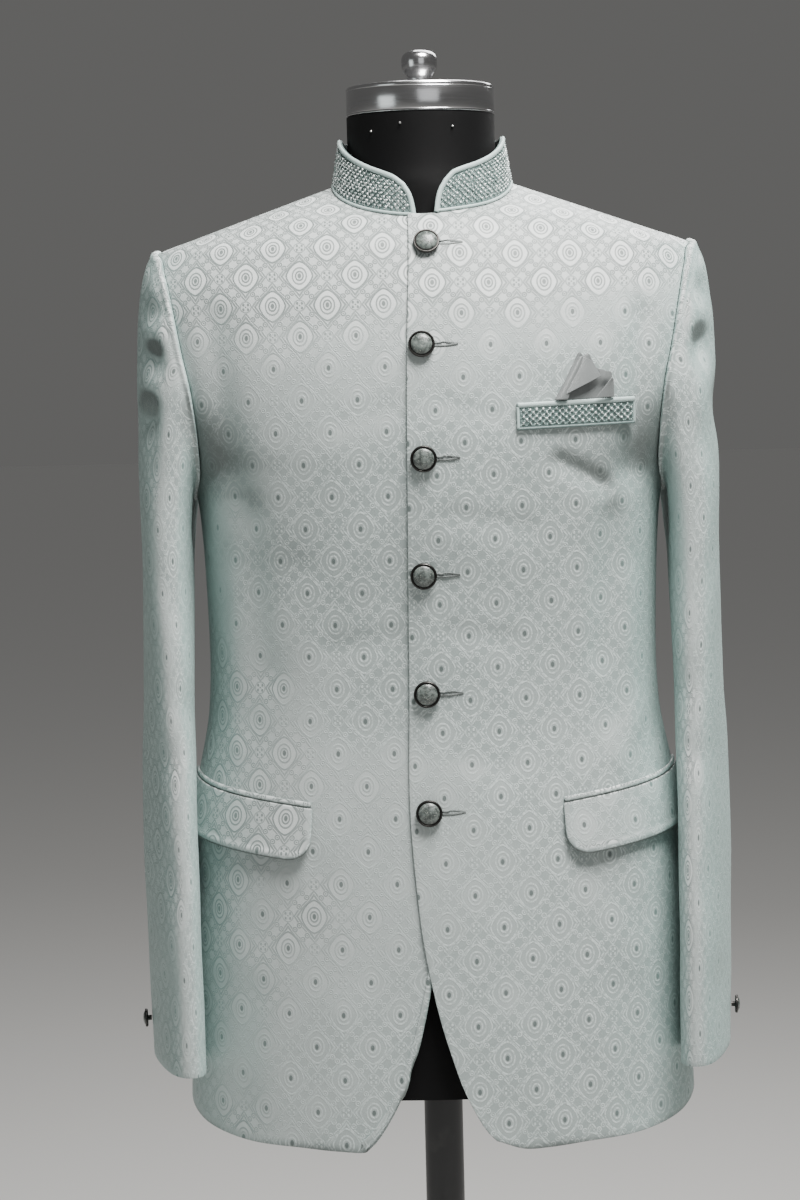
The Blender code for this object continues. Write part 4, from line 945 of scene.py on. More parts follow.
def strungTree(name, spacing, bead, material, seed, stitch=False):
    tree = bpy.data.node_groups.new(name, "GeometryNodeTree")
    tree.interface.new_socket("Geometry", in_out="INPUT", socket_type="NodeSocketGeometry")
    for label, value in (("Spacing", spacing), ("Bead Radius", bead), ("Size Spread", 0.18)):
        tree.interface.new_socket(label, in_out="INPUT", socket_type="NodeSocketFloat").default_value = value
    tree.interface.new_socket("Geometry", in_out="OUTPUT", socket_type="NodeSocketGeometry")

    def add(kind, links=None, **values):
        node = tree.nodes.new(kind)
        for key, value in values.items():
            setattr(node, key, value)
        for key, link in (links or {}).items():
            if isinstance(link, bpy.types.NodeSocket):
                tree.links.new(link, node.inputs[key])
            else:
                node.inputs[key].default_value = link
        return node

    start, end = add("NodeGroupInput"), add("NodeGroupOutput")
    curves = add("GeometryNodeMeshToCurve", {"Mesh": start.outputs["Geometry"]})
    spaced = add("GeometryNodeResampleCurve", {"Curve": curves.outputs["Curve"], "Length": start.outputs["Spacing"]}, mode="LENGTH")
    if stitch:
        solid = add("GeometryNodeMeshCylinder", {"Vertices": 6, "Radius": 0.35, "Depth": 2.6})
        shape = solid.outputs["Mesh"]
    else:
        solid = add("GeometryNodeMeshIcoSphere", {"Radius": 1.0, "Subdivisions": 1})
        shape = solid.outputs["Mesh"]
    spread = add("FunctionNodeRandomValue", data_type="FLOAT")
    low = add("ShaderNodeMath", {0: 1.0, 1: start.outputs["Size Spread"]}, operation="SUBTRACT")
    high = add("ShaderNodeMath", {0: 1.0, 1: start.outputs["Size Spread"]}, operation="ADD")
    tree.links.new(low.outputs[0], spread.inputs[2])
    tree.links.new(high.outputs[0], spread.inputs[3])
    spread.inputs["Seed"].default_value = seed
    size = add("ShaderNodeMath", {0: spread.outputs[1], 1: start.outputs["Bead Radius"]}, operation="MULTIPLY")
    if stitch:
        tangent = add("GeometryNodeInputTangent")
        turn = add("FunctionNodeAlignRotationToVector", {"Vector": tangent.outputs[0]}, axis="X")
        strung = add("GeometryNodeInstanceOnPoints", {
            "Points": spaced.outputs["Curve"], "Instance": shape, "Scale": size.outputs[0], "Rotation": turn.outputs[0]})
    else:
        strung = add("GeometryNodeInstanceOnPoints", {
            "Points": spaced.outputs["Curve"], "Instance": shape, "Scale": size.outputs[0]})
    real = add("GeometryNodeRealizeInstances", {"Geometry": strung.outputs["Instances"]})
    smooth = add("GeometryNodeSetShadeSmooth", {"Geometry": real.outputs["Geometry"]})
    dressed = add("GeometryNodeSetMaterial", {"Geometry": smooth.outputs["Geometry"], "Material": material})
    tree.links.new(dressed.outputs["Geometry"], end.inputs[0])
    return tree


def strung(name, lines, tree, material, **sizes):
    points, edges = [], []
    for line in lines:
        start = len(points)
        points += [tuple(point) for point in line]
        edges += [(start + k, start + k + 1) for k in range(len(line) - 1)]
    mesh = bpy.data.meshes.new(name)
    mesh.from_pydata(points, edges, [])
    made = bpy.data.objects.new(name, mesh)
    bpy.context.scene.collection.objects.link(made)
    nodes = made.modifiers.new("strung", "NODES")
    nodes.node_group = tree
    for item in tree.interface.items_tree:
        if item.item_type == "SOCKET" and item.in_out == "INPUT" and item.name in sizes:
            nodes[item.identifier] = sizes[item.name]
    graph = bpy.context.evaluated_depsgraph_get()
    plain = bpy.data.meshes.new_from_object(made.evaluated_get(graph), depsgraph=graph)
    made.modifiers.clear()
    made.data = plain
    if not plain.materials:
        plain.materials.append(material)
    return made


# Stand collar, with its piping and beaded lattice

collar = {
    "gapCentreX": 0.0013, "lean": 0.0065, "wall": 0.0024, "columns": 150, "rows": 26,
    "endX": [0.0076, 0.0096, 0.0125, 0.0170], "endHeight": [0.0, 0.0110, 0.0195, 0.0265],
    "topTurn": [22.0, 42.0, 66.0, 90.0, 180.0], "topHeight": [0.0325, 0.0360, 0.0380, 0.0385, 0.0400],
    "pipingHalfWidth": 0.0021, "pipingHalfThick": 0.0014, "basePipingHalfWidth": 0.0013,
    "latticeStep": 0.0052, "latticeMargin": 0.0046, "beadRadius": 0.00050, "beadSpacing": 0.00118,
}


def collarPoint(turn, height, depth, sign):
    seam = neckSeam(turn)
    x = torsoPoint(seam[..., 0], seam[..., 1])[..., 0]
    lift = np.where((np.abs(turn) < 90) & (sign > 0), lapOut(x), 0.0)
    base = offTorso(seam[..., 0], seam[..., 1], lift)
    a = np.radians(turn)
    inward = np.stack([-np.sin(a), np.cos(a), np.zeros(a.shape)], axis=-1)
    lean = collar["lean"] * height / collar["topHeight"][-1]
    rise = np.stack([np.zeros(a.shape), np.zeros(a.shape), cloth["seamGap"] + height], axis=-1)
    return base + inward * (lean + depth)[..., None] + rise


def collarFrame(sign):
    def endTurn(x):
        return math.degrees(math.asin((x + sign * collar["gapCentreX"]) / neck["halfWidth"]))
    ends = [(endTurn(x), height) for x, height in zip(collar["endX"], collar["endHeight"])]
    tops = [ends[-1], *zip(collar["topTurn"], collar["topHeight"])]
    share = 7 / 12

    def onBand(turn, height):
        return np.stack([np.radians(turn) * neck["halfWidth"], height], axis=-1)

    def base(s):
        turn = np.where(s < share, lerp(ends[0][0], 90.0, s / share), lerp(90.0, 180.0, (s - share) / (1 - share)))
        return np.stack([turn, np.zeros(s.shape)], axis=-1)
    edges = (base, lambda s: placeAlong(tops, s, onBand), lambda t: placeAlong(ends, t, onBand),
             lambda t: np.stack([np.full(t.shape, 180.0), collar["topHeight"][-1] * t], axis=-1))
    return edges, ends, tops


def collarOutward(turn):
    a = np.radians(turn)
    return np.stack([np.sin(a), -np.cos(a), np.full(a.shape, 0.16)], axis=-1)


def clipLines(lines, inside):
    kept = []
    for line in lines:
        run = []
        for place in line:
            if inside(*place):
                run.append(place)
                continue
            if len(run) > 2:
                kept.append(run)
            run = []
        if len(run) > 2:
            kept.append(run)
    return kept


def latticeLines(length, height, step):
    lines, fine = [], 0.0006
    for slope in (1, -1):
        first = -height if slope > 0 else 0.0
        start = first
        while start < length + height:
            count = int(height / fine)
            lines.append([(start + slope * k * fine, k * fine) for k in range(count + 1)])
            start += step
    return lines


for side, sign, beads in (("left", 1, mintBeads), ("right", -1, silverBeads)):
    edges, ends, tops = collarFrame(sign)
    s, t = np.linspace(0, 1, collar["columns"] + 1), np.linspace(0, 1, collar["rows"] + 1)
    place = fillEdges(edges, s, t)
    grid = collarPoint(place[..., 0], place[..., 1], np.zeros(place.shape[:2]), sign)
    uv = np.stack([np.radians(place[..., 0]) * neck["halfWidth"], place[..., 1]], axis=-1)
    flipX = np.array([sign, 1.0, 1.0])
    if sign < 0:
        grid, uv = mirrorX(grid), uv[:, ::-1]
    band = gridMesh(f"collar_band_{side}", grid, uv, bandSatin)
    thicken(band, collar["wall"], edge=0.0006)
    # piping round the top and the rounded front end, then a narrower one on the seam
    rim = np.concatenate([edges[1](np.linspace(1, 0, 120))[:-1], edges[2](np.linspace(1, 0, 40))])
    inset = collar["pipingHalfWidth"] * 0.75
    turnIn = np.degrees(inset / neck["halfWidth"])
    rimTurn = rim[:, 0] + turnIn * (1 - softStep((rim[:, 0] - ends[-1][0] + 3) / 12))
    rimHeight = np.maximum(rim[:, 1] - inset * softStep((rim[:, 0] - ends[0][0] - 1) / 6), 0.0)
    path = collarPoint(rimTurn, rimHeight, np.full(len(rim), -0.0003), sign) * flipX
    outward = collarOutward(rimTurn) * flipX
    rimTube = tube(f"collar_piping_{side}", path, outward, collar["pipingHalfWidth"], collar["pipingHalfThick"], pipingSatin, 12)
    baseTurn = np.linspace(ends[0][0] + 0.5, 179.8, 140)
    basePath = collarPoint(baseTurn, np.full(140, 0.0012), np.full(140, -0.0004), sign) * flipX
    baseTube = tube(f"collar_seam_piping_{side}", basePath, collarOutward(baseTurn) * flipX,
                    collar["basePipingHalfWidth"], 0.0011, pipingSatin, 10)
    piping = joinPieces(f"collar_piping_{side}", [rimTube, baseTube])
    # the beaded lattice
    topTurns, topHeights = [turn for turn, _ in [*ends, *tops[1:]]], [h for _, h in [*ends, *tops[1:]]]
    length = math.pi * neck["halfWidth"]
    margin = collar["latticeMargin"]

    def inBand(arc, height):
        turn = math.degrees(arc / neck["halfWidth"])
        if not ends[0][0] + 3.6 < turn < 179.6 or height < 0.0030:
            return False
        return height < float(smoothRead(topTurns, topHeights, turn - 1.5)) - margin
    lines = clipLines(latticeLines(length, collar["topHeight"][-1], collar["latticeStep"]), inBand)
    beadTree = strungTree(f"beads_{side}", collar["beadSpacing"], collar["beadRadius"], beads, 11)
    laid = []
    for line in lines:
        arc, height = np.array(line).T
        turn = np.degrees(arc / neck["halfWidth"])
        laid.append(collarPoint(turn, height, np.full(len(line), -0.0004), sign) * flipX)
    strings = strung(f"collar_beads_{side}", laid, beadTree, beads)
    # a larger bead in each cell
    cells = []
    step = collar["latticeStep"]
    for row in range(1, 14):
        for k in range(int(length / step) + 1):
            arc, height = k * step + (row % 2) * step / 2, row * step / 2
            if inBand(arc, height) and inBand(arc + 0.0012, height) and inBand(arc - 0.0012, height):
                cells.append((math.degrees(arc / neck["halfWidth"]), height))
    turn, height = np.array(cells).T
    seeds = []
    for nudge in (-0.0009, 0.0009):
        seeds.append(collarPoint(turn, height + nudge * 0, np.full(len(turn), -0.0005), sign) * flipX)
    knots = [[tuple(a), tuple(a + np.array([0, 0, 0.0004]))] for a in seeds[0]]
    knotTree = strungTree(f"cell_beads_{side}", 0.003, 0.00105, silverBeads, 5)
    centres = strung(f"collar_cell_beads_{side}", knots, knotTree, silverBeads)
    trim = joinPieces(f"collar_beads_{side}", [strings, centres])
    finish(band, [f"collar_{side}"], "beaded_band",
           extra=(piping, trim))
print("collar made")


# Hip pockets

hip = {
    "innerX": 0.1000, "innerZ": 0.9520, "rise": 0.117, "length": 0.150, "jetHeight": 0.0047,
    "gap": 0.0006, "height": 0.0420, "corner": 0.0200, "lift": 0.0028, "wall": 0.0022,
    "columns": 90, "rows": 30,
}


def hipPlace(distance, drop, out):
    z = hip["innerZ"] + hip["rise"] * distance - drop
    level = np.full(np.shape(distance), hip["innerZ"])
    start = girthAt(angleAtX(hip["innerX"], level), level)
    return offTorso(angleFor(start + distance, level), z, out)


def flapCorner(share):
    a = math.pi / 2 * share
    return (hip["corner"] * (1 - math.cos(a)), hip["height"] - hip["corner"] * (1 - math.sin(a)))


def asFlat(distance, drop):
    return np.stack([distance, drop], axis=-1)


upright = [(0.0, 0.0), *map(flapCorner, (0.0, 0.25, 0.5))]
lower = [*map(flapCorner, (0.5, 0.75, 1.0)), (hip["length"], hip["height"])]
flapEdges = (
    lambda s: placeAlong(lower, s, asFlat),
    lambda s: np.stack([hip["length"] * s, np.zeros(s.shape)], axis=-1),
    lambda t: placeAlong(upright, 1 - t, asFlat),
    lambda t: np.stack([np.full(t.shape, hip["length"]), hip["height"] * (1 - t)], axis=-1),
)
for side, sign, material in (("left", 1, leftBrocade), ("right", -1, rightBrocade)):
    s, t = np.linspace(0, 1, hip["columns"] + 1), np.linspace(0, 1, hip["rows"] + 1)
    place = fillEdges(flapEdges, s, t)
    distance, drop = place[..., 0], place[..., 1] + cloth["seamGap"]
    fromEdge = np.minimum(np.minimum(s, 1 - s)[None, :] * hip["length"], t[:, None] * hip["height"])
    puff = 0.0006 * np.exp(-((fromEdge - 0.0035) / 0.0025) ** 2) - 0.0004 * np.exp(-(fromEdge / 0.0012) ** 2)
    bow = 0.0010 * np.sin(np.clip(distance / hip["length"], 0, 1) * math.pi * 2.3 + 0.4) * drop / hip["height"]
    grid = hipPlace(distance, drop, hip["gap"] + hip["lift"] * drop / hip["height"] + puff + np.maximum(bow, 0))
    level = hip["innerZ"] + hip["rise"] * distance - drop
    uv = np.stack([distance + 0.103, level], axis=-1)
    if sign < 0:
        grid, uv = mirrorX(grid), uv[:, ::-1] * np.array([-1.0, 1.0])
    flap = gridMesh(f"pocket_flap_{side}", grid, uv, material)
    thicken(flap, hip["wall"], offset=1.0, edge=0.0009)
    finish(flap, [f"flap_{side}"], "brocade")
    run = np.linspace(0.0008, hip["length"] - 0.0008, 80)
    flipX = np.array([sign, 1.0, 1.0])
    rise = np.full(80, -hip["jetHeight"] / 2)
    path = hipPlace(run, rise, np.full(80, hip["gap"] + 0.0008)) * flipX
    normals = (hipPlace(run, rise, np.full(80, 0.002)) - hipPlace(run, rise, np.zeros(80))) * flipX
    jet = tube(f"pocket_jet_{side}", path, normals, hip["jetHeight"] / 2, 0.0012, material, 12)
    finish(jet, [f"jet_{side}"], "brocade")
print("hip pockets made")


# Breast welt and the square in it

welt = {"innerX": 0.0690, "outerX": 0.1640, "topZ": 1.2705, "rise": 0.0030, "height": 0.0215, "wall": 0.0021}


def weltPlace(x, up, out):
    x, up, out = np.broadcast_arrays(np.asarray(x, float), np.asarray(up, float), np.asarray(out, float))
    share = (x - welt["innerX"]) / (welt["outerX"] - welt["innerX"])
    z = welt["topZ"] + welt["rise"] * share + up
    return offTorso(angleAtX(x, z), z, lapOut(x) + out)


x, up = np.meshgrid(np.linspace(welt["innerX"], welt["outerX"], 81), np.linspace(-welt["height"], 0, 17))
band = gridMesh("welt_band", weltPlace(x, up, 0.0003), np.stack([x, up], -1), bandSatin)
thicken(band, welt["wall"], offset=1.0, edge=0.0006)
x = np.linspace(welt["innerX"] + 0.0008, welt["outerX"] - 0.0008, 70)
outward = weltPlace(x, -0.01, 0.004) - weltPlace(x, -0.01, 0.0)
topPiping = tube("welt_piping", weltPlace(x, -0.0018, 0.0026), outward, 0.0020, 0.0013, pipingSatin, 12)
lowPiping = tube("welt_lip", weltPlace(x, -welt["height"] + 0.0012, 0.0022), outward, 0.0011, 0.0011, bandSatin, 10)
z = np.linspace(-0.0030, -welt["height"] + 0.0012, 14)
sides = [tube(f"welt_side_{k}", weltPlace(edge, z, 0.0022), weltPlace(edge, z, 0.004) - weltPlace(edge, z, 0.0), 0.0012, 0.0010, pipingSatin, 10)
         for k, edge in enumerate((welt["innerX"] + 0.0010, welt["outerX"] - 0.0010))]
weltPiping = joinPieces("welt_piping", [topPiping, lowPiping, *sides])


def inWelt(arc, height):
    return 0.0028 < arc < 0.0925 and 0.0034 < height < 0.0170


lines = clipLines(latticeLines(0.095, welt["height"], collar["latticeStep"]), inWelt)
laid = [weltPlace(np.array(line)[:, 0] + welt["innerX"], np.array(line)[:, 1] - welt["height"], 0.0027) for line in lines]
weltTree = strungTree("beads_welt", collar["beadSpacing"], collar["beadRadius"], mintBeads, 17)
strings = strung("welt_beads", laid, weltTree, mintBeads)
spots = [(k * step + (row % 2) * step / 2, row * step / 2) for row in range(1, 7) for k in range(19)]
spots = [spot for spot in spots if inWelt(*spot)]
knots = [[tuple(weltPlace(a + welt["innerX"], h - welt["height"] + d, 0.0028)) for d in (0, 0.0004)] for a, h in spots]
centres = strung("welt_cell_beads", knots, strungTree("cell_beads_welt", 0.003, 0.00105, silverBeads, 6), silverBeads)
weltTrim = joinPieces("welt_beads", [strings, centres])
finish(band, ["pocket_welt"], "beaded_band",
       extra=(weltPiping, weltTrim))

# columns: where each fold line starts and ends, and how far it stands out
square = {
    "baseX": [0.1000, 0.1040, 0.1085, 0.1155, 0.1235, 0.1310, 0.1390, 0.1455],
    "tipX": [0.1180, 0.1205, 0.1225, 0.1272, 0.1325, 0.1400, 0.1445, 0.1464],
    "tipZ": [1.3070, 1.3090, 1.3060, 1.3080, 1.2970, 1.2940, 1.2930, 1.2800],
    "baseOut": [0.0014, 0.0016, 0.0014, 0.0018, 0.0014, 0.0018, 0.0016, 0.0014],
    "middleOut": [0.0014, 0.0017, 0.0014, 0.0019, 0.0014, 0.0020, 0.0020, 0.0014],
    "tipOut": [0.0014, 0.0020, 0.0016, 0.0028, 0.0026, 0.0040, 0.0036, 0.0014],
    "columns": 98, "rows": 30, "wall": 0.0008,
}
knotsAt = np.arange(len(square["baseX"]))
at = np.linspace(0, len(knotsAt) - 1, square["columns"] + 1)
sharp = {}
for name in ("baseX", "tipX", "tipZ", "baseOut", "middleOut", "tipOut"):
    straight = np.interp(at, knotsAt, square[name])
    sharp[name] = 0.55 * straight + 0.45 * smoothRead(knotsAt, square[name], at)
share = np.linspace(0, 1, square["rows"] + 1)[:, None]
x = lerp(sharp["baseX"][None], sharp["tipX"][None], share)
baseZ = weltPlace(sharp["baseX"], 0.0005, 0.0)[..., 2]
z = lerp(baseZ[None], sharp["tipZ"][None], share)
crumple = 0.0007 * np.sin(at[None] * 2.1 + share * 5) * share
low, middle, high = (sharp[name][None] for name in ("baseOut", "middleOut", "tipOut"))
out = lapOut(x) + lerp(lerp(low, middle, softStep(share * 2.2)), high, softStep(share * 2.4 - 0.9)) + crumple
grid = offTorso(angleAtX(x, z), z, np.maximum(out, lapOut(x) + 0.0010))
piece = gridMesh("square_in_pocket", grid, np.stack([at[None].repeat(len(share), 0) * 0.006, z], -1), greySatin)
thicken(piece, square["wall"], offset=1.0, edge=0.0003)
# three folds in front of it: corners from the lower left, each with x, height and how far out
squareFolds = {
    "left": dict(corners=((0.0990, 1.2722, 0.0034), (0.1085, 1.2724, 0.0048), (0.1222, 1.3062, 0.0052), (0.1182, 1.3050, 0.0034)), bulge=0.0016),
    "peak": dict(corners=((0.1072, 1.2762, 0.0058), (0.1345, 1.2900, 0.0072), (0.1288, 1.3020, 0.0052), (0.1222, 1.3058, 0.0044)), bulge=0.0012),
    "right": dict(corners=((0.1305, 1.2734, 0.0064), (0.1457, 1.2738, 0.0042), (0.1455, 1.2868, 0.0042), (0.1430, 1.2890, 0.0074)), bulge=0.0011),
}
leaves = []
s, t = np.linspace(0, 1, 25)[None, :, None], np.linspace(0, 1, 25)[:, None, None]
for name, fold in squareFolds.items():
    a, b, c, d = (np.array(corner) for corner in fold["corners"])
    leaf = lerp(lerp(a, b, s), lerp(d, c, s), t)
    leafX, leafZ = leaf[..., 0], leaf[..., 1]
    leafOut = lapOut(leafX) + leaf[..., 2] + fold["bulge"] * np.sin(s[..., 0] * math.pi) * (1 - 0.6 * t[..., 0])
    made = gridMesh(f"square_fold_{name}", offTorso(angleAtX(leafX, leafZ), leafZ, leafOut), leaf[..., :2], greySatin)
    thicken(made, square["wall"], offset=1.0, edge=0.0003)
    leaves.append(made)
leaves = [joinPieces("square_folds", leaves)]
finish(piece, ["pocket_square"], "satin", extra=leaves)
print("welt and square made")


# Buttons and their worked holes

buttons = {
    "x": [0.0015, -0.0045, -0.0050, -0.0070, -0.0065, -0.0070],
    "z": [1.3980, 1.3180, 1.2290, 1.1365, 1.0420, 0.9480],
    "sink": [0.00074, 0.00045, 0.00005, 0.0, -0.00020, 0.00010],
    "radius": 0.0106, "shankHeight": 0.0012, "steps": 56,
    "cuffRadius": 0.0074, "cuffShankHeight": 0.0030, "cuffZ": 0.769, "cuffTurn": -38.0,
    "holeStart": 0.0060, "holeEnd": 0.0285, "holeHalfWidth": 0.0014,
}
# radius and height over the shank, from the stone's top down; band 0 is stone and band 1 metal
buttonOutline = [
    (0.0001, 0.00580, 0), (0.0016, 0.00576, 0), (0.0033, 0.00558, 0), (0.0050, 0.00522, 0), (0.0065, 0.00466, 0),
    (0.0077, 0.00396, 0), (0.0084, 0.00326, 0), (0.0086, 0.00270, 1), (0.0089, 0.00262, 1), (0.0091, 0.00310, 1),
    (0.0095, 0.00338, 1), (0.0100, 0.00336, 1), (0.0104, 0.00300, 1), (0.0106, 0.00240, 1), (0.0106, 0.00160, 1),
    (0.0103, 0.00080, 1), (0.0097, 0.00030, 1), (0.0085, 0.0, 1), (0.0032, 0.0, 1), (0.0030, -0.0003, 1),
]


def buttonAt(name, foot, normal, scale, shankHeight):
    outline = [(radius * scale, shankHeight + height * scale) for radius, height, _ in buttonOutline]
    bands = [band for _, _, band in buttonOutline[1:]] + [1, 1]
    outline += [(0.0030 * scale, 0.0), (0.0001, 0.0)]
    return turned(name, outline, buttons["steps"], [stone, rimMetal], foot, normal, bands)


holeLines = []
for number, (x, z, sink) in enumerate(zip(buttons["x"], buttons["z"], buttons["sink"]), 1):
    angle = float(angleAtX(x, z))
    foot = offTorso(angle, z, cloth["lapLift"] + cloth["seamGap"])
    made = buttonAt(f"front_button_{number}", foot, torsoNormal(angle, z), 1.0, buttons["shankHeight"])
    finish(made, [f"button_{number}"], "button_metal")
    # the hole: a narrow loop that closes to a point at its outer end
    turns = np.linspace(0, 2 * math.pi, 90)
    middle, reach = (buttons["holeStart"] + buttons["holeEnd"]) / 2, (buttons["holeEnd"] - buttons["holeStart"]) / 2
    across = middle + reach * np.cos(turns)
    taper = np.clip((buttons["holeEnd"] - across) / 0.010, 0, 1) ** 0.7
    upDown = buttons["holeHalfWidth"] * np.sign(np.sin(turns)) * np.abs(np.sin(turns)) ** 0.5 * taper
    holeX, holeZ = x + across, z + upDown + 0.004 * across
    line = offTorso(angleAtX(holeX, holeZ), holeZ, lapOut(holeX) + 0.0003)
    holeLines.append([tuple(point) for point in line])
stitchTree = strungTree("buttonhole_stitches", 0.00050, 0.00072, holeThread, 3, stitch=True)
stitches = strung("buttonhole_stitches", holeLines, stitchTree, holeThread, **{"Size Spread": 0.10})
finish(stitches, [], "brocade")
row = sleeve["headRows"] + sleeve["armRows"] * (sleeve["z"][-1] - buttons["cuffZ"]) / (sleeve["z"][-1] - sleeve["z"][0])
turn = np.array([buttons["cuffTurn"]])
for side, sign in (("left", 1), ("right", -1)):
    flipX = np.array([sign, 1.0, 1.0])
    normal = sleeveNormal(turn, row)[0]
    foot = (sleevePlace(turn, row)[0] + normal * cloth["seamGap"]) * flipX
    made = buttonAt(f"sleeve_button_{side}", foot, normal * flipX, buttons["cuffRadius"] / buttons["radius"], buttons["cuffShankHeight"])
    finish(made, [f"cuff_button_{side}"], "button_metal")
print("buttons made")


# Dress form and stand

form = {
    "bottomZ": 0.720, "shoulderX": 0.185, "shoulderLowZ": 1.225, "shoulderShrink": 0.15, "sides": 128,
    "clearanceZ": [0.720, 1.020, 1.240, 1.345, 1.398, 1.418, 1.451],
    "clearance": [0.0110, 0.0095, 0.0080, 0.0065, 0.0061, 0.0057, 0.0055],
    "flareZ": [1.300, 1.398, 1.420, 1.438, 1.450, 1.462, 1.480, 1.5077],
    "flareRadius": [0.0690, 0.0680, 0.0655, 0.0646, 0.0642, 0.0624, 0.0615, 0.0615],
}


def formRing(z):
    degrees = np.arange(form["sides"]) * 360.0 / form["sides"]
    extra = 0.0006  # a smooth curve stands a little prouder than the part's flat cells
    clearance = float(smoothRead(form["clearanceZ"], form["clearance"], z)) + extra
    radius = float(smoothRead(form["flareZ"], form["flareRadius"], z))
    points = offTorso(degrees, np.full(form["sides"], z), np.full(form["sides"], -clearance))
    if z == form["bottomZ"]:
        points[:, 2] = z
    past = np.maximum(np.abs(points[:, 0]) - form["shoulderX"], 0) * (z > form["shoulderLowZ"])
    points[:, 0] -= np.copysign(past * (1 - form["shoulderShrink"]), points[:, 0])
    reach = np.maximum(radius / np.maximum(np.hypot(points[:, 0], points[:, 1]), 1e-6), 1.0)
    points[:, :2] *= reach[:, None]
    return points


def neckRing(z):
    radius = float(smoothRead(form["flareZ"], form["flareRadius"], z))
    turns = np.radians(np.arange(form["sides"]) * 360.0 / form["sides"])
    return np.stack([radius * np.sin(turns), -radius * np.cos(turns), np.full(form["sides"], z)], axis=-1)


levels = [*np.linspace(0.720, 1.360, 44), *np.linspace(1.366, 1.447, 26)]
rings = [formRing(float(z)) for z in levels] + [neckRing(float(z)) for z in np.linspace(1.450, 1.5077, 12)]
base, crown = rings[0], rings[-1]
rings = [base * np.array([0.02, 0.02, 1]), base * np.array([0.6, 0.6, 1]), base * np.array([0.975, 0.975, 1]), *rings,
         crown * np.array([0.6, 0.6, 1]), crown * np.array([0.02, 0.02, 1])]
grid = np.array(rings)
uv = np.zeros(grid.shape[:1] + (form["sides"] + 1, 2))
body = gridMesh("form_body", grid, uv, cover, ring=True)
faceOut(body)
body.data.set_sharp_from_angle(angle=math.radians(45))
# pins left in the neck: angle round and height
pins = []
for degrees, z in ((-16, 1.4985), (24, 1.4950), (-41, 1.4930)):
    a = math.radians(degrees)
    outward = Vector((math.sin(a), -math.cos(a), 0.15)).normalized()
    foot = Vector((0.0613 * math.sin(a), -0.0613 * math.cos(a), z))
    pins.append(turned("pin", [(0.00005, 0.0020), (0.0007, 0.0018), (0.0010, 0.0012), (0.0007, 0.0006), (0.0003, 0.0004), (0.0003, -0.001)],
                       12, [pinMetal], foot, outward))
pinHeads = joinPieces("neck_pins", pins)
finish(body, ["form_torso"], "form_cover")
finish(pinHeads, [], "cap_chrome")

capOutline = [(0.0001, 1.5332), (0.0560, 1.5332), (0.0590, 1.5330), (0.0606, 1.5324), (0.0614, 1.5312), (0.0615, 1.5298), (0.0612, 1.5292),
              (0.0615, 1.5286), (0.0615, 1.5110), (0.0612, 1.5104), (0.0615, 1.5098), (0.0615, 1.5090), (0.0605, 1.5080), (0.0001, 1.5080)]
knobOutline = [(0.0001, 1.5630), (0.0040, 1.5629), (0.0078, 1.5624), (0.0112, 1.5612), (0.0136, 1.5592), (0.0148, 1.5565), (0.0150, 1.5540),
               (0.0149, 1.5510), (0.0144, 1.5480), (0.0132, 1.5450), (0.0114, 1.5424), (0.0103, 1.5404), (0.0100, 1.5385), (0.0101, 1.5364),
               (0.0110, 1.5352), (0.0146, 1.5347), (0.0150, 1.5343), (0.0150, 1.5335), (0.0001, 1.5335)]
baseOutline = [(0.0001, 0.0141), (0.0250, 0.0141), (0.1600, 0.0141), (0.1660, 0.0136), (0.1700, 0.0124), (0.1730, 0.0104), (0.1746, 0.0080),
               (0.1750, 0.0055), (0.1750, 0.0012), (0.1742, 0.0002), (0.1720, 0.0), (0.0001, 0.0)]
poleOutline = [(0.0001, 0.7197), (0.0155, 0.7197), (0.0160, 0.7190), (0.0160, 0.0146), (0.0001, 0.0143)]
for name, outline, steps, material, node, slot in (
    ("cap_disc", capOutline, 160, capChrome, "neck_cap", "cap_chrome"),
    ("cap_finial", knobOutline, 72, capChrome, "cap_knob", "cap_chrome"),
    ("floor_plate", baseOutline, 160, standPaint, "stand_base", "stand_paint"),
    ("form_pole", poleOutline, 64, standPaint, "stand_pole", "stand_paint"),
):
    finish(turned(name, outline, steps, [material]), [node], slot)
print("form and stand made")


# Floor, light and camera

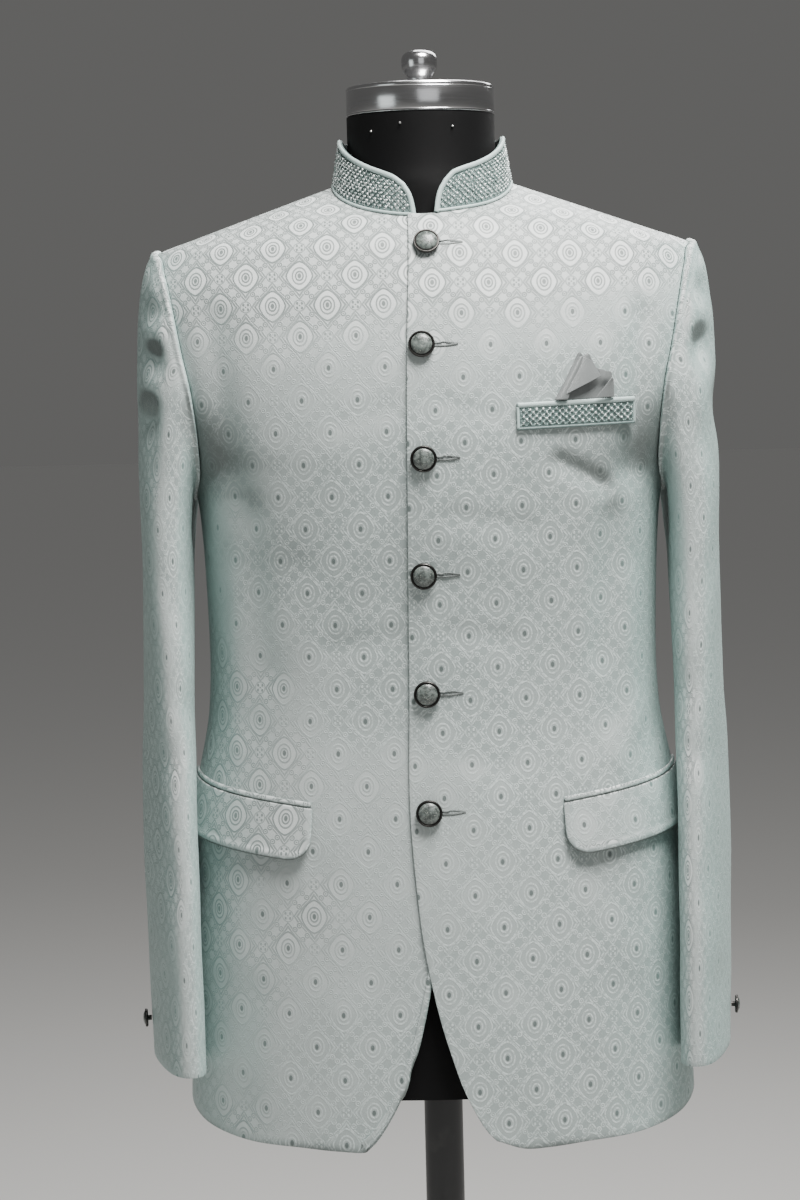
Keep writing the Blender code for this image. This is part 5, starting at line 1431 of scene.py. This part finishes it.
room = {"floorColour": (0.56, 0.555, 0.54), "floorSize": 30.0, "floorGlow": 0.0527,
        "world": (0.62, 0.615, 0.60), "worldStrength": 0.20}
floorMaterial, floorTree, floorShader = newMaterial(
    "pale_floor", Roughness=0.8, Emission_Color=(1.0, 1.0, 1.0, 1.0), Emission_Strength=room["floorGlow"])
feed(floorTree, floorShader, Base_Color=mixColour(
    floorTree, noise(floorTree, 3.0, 2.0) * 0.10, room["floorColour"], (0.52, 0.515, 0.50)))
size = room["floorSize"]
mesh = bpy.data.meshes.new("pale_floor")
mesh.from_pydata([(-size, -size, 0), (size, -size, 0), (size, size, 0), (-size, size, 0)], [], [[0, 1, 2, 3]])
mesh.materials.append(floorMaterial)
floor = bpy.data.objects.new("pale_floor", mesh)
bpy.context.scene.collection.objects.link(floor)

lights = [
    dict(name="overhead", place=(0.55, -0.85, 3.2), aim=(0.0, 0.0, 1.20), size=1.0, power=190, colour=(1.0, 0.985, 0.96)),
    dict(name="front_soft", place=(0.7, -3.2, 1.9), aim=(0.0, 0.0, 1.05), size=1.8, power=9, colour=(0.97, 0.99, 1.0)),
    dict(name="left_low", place=(-2.2, -1.6, 1.3), aim=(0.0, 0.0, 1.0), size=1.2, power=7, colour=(0.93, 1.0, 0.99)),
    dict(name="back_top", place=(0.6, 1.6, 2.8), aim=(0.0, 0.0, 1.3), size=1.6, power=48, colour=(1.0, 1.0, 1.0)),
]
for light in lights:
    data = bpy.data.lights.new(light["name"], "AREA")
    data.shape, data.size = "SQUARE", light["size"]
    data.energy, data.color = light["power"], light["colour"]
    lamp = bpy.data.objects.new(light["name"], data)
    lamp.location = light["place"]
    lamp.rotation_euler = (Vector(light["aim"]) - Vector(light["place"])).to_track_quat("-Z", "Y").to_euler()
    bpy.context.scene.collection.objects.link(lamp)
world = bpy.data.worlds.new("plain_studio")
world.use_nodes = True
background = world.node_tree.nodes["Background"]
background.inputs["Color"].default_value = (*room["world"], 1)
background.inputs["Strength"].default_value = room["worldStrength"]
bpy.context.scene.world = world

view = {"place": (-0.022, -2.33, 1.32), "lens": 84.0, "roll": -1.35, "pitch": -0.65, "shiftY": -0.1875}
camera = bpy.data.objects.new("photo_camera", bpy.data.cameras.new("photo_camera"))
camera.data.lens, camera.data.sensor_width, camera.data.shift_y = view["lens"], 36.0, view["shiftY"]
camera.location = view["place"]
turn = Euler((math.radians(90 + view["pitch"]), 0, 0)).to_matrix() @ Euler((0, 0, math.radians(view["roll"]))).to_matrix()
camera.rotation_euler = turn.to_euler()
bpy.context.scene.collection.objects.link(camera)
bpy.context.scene.camera = camera
print("stage, light and camera made")
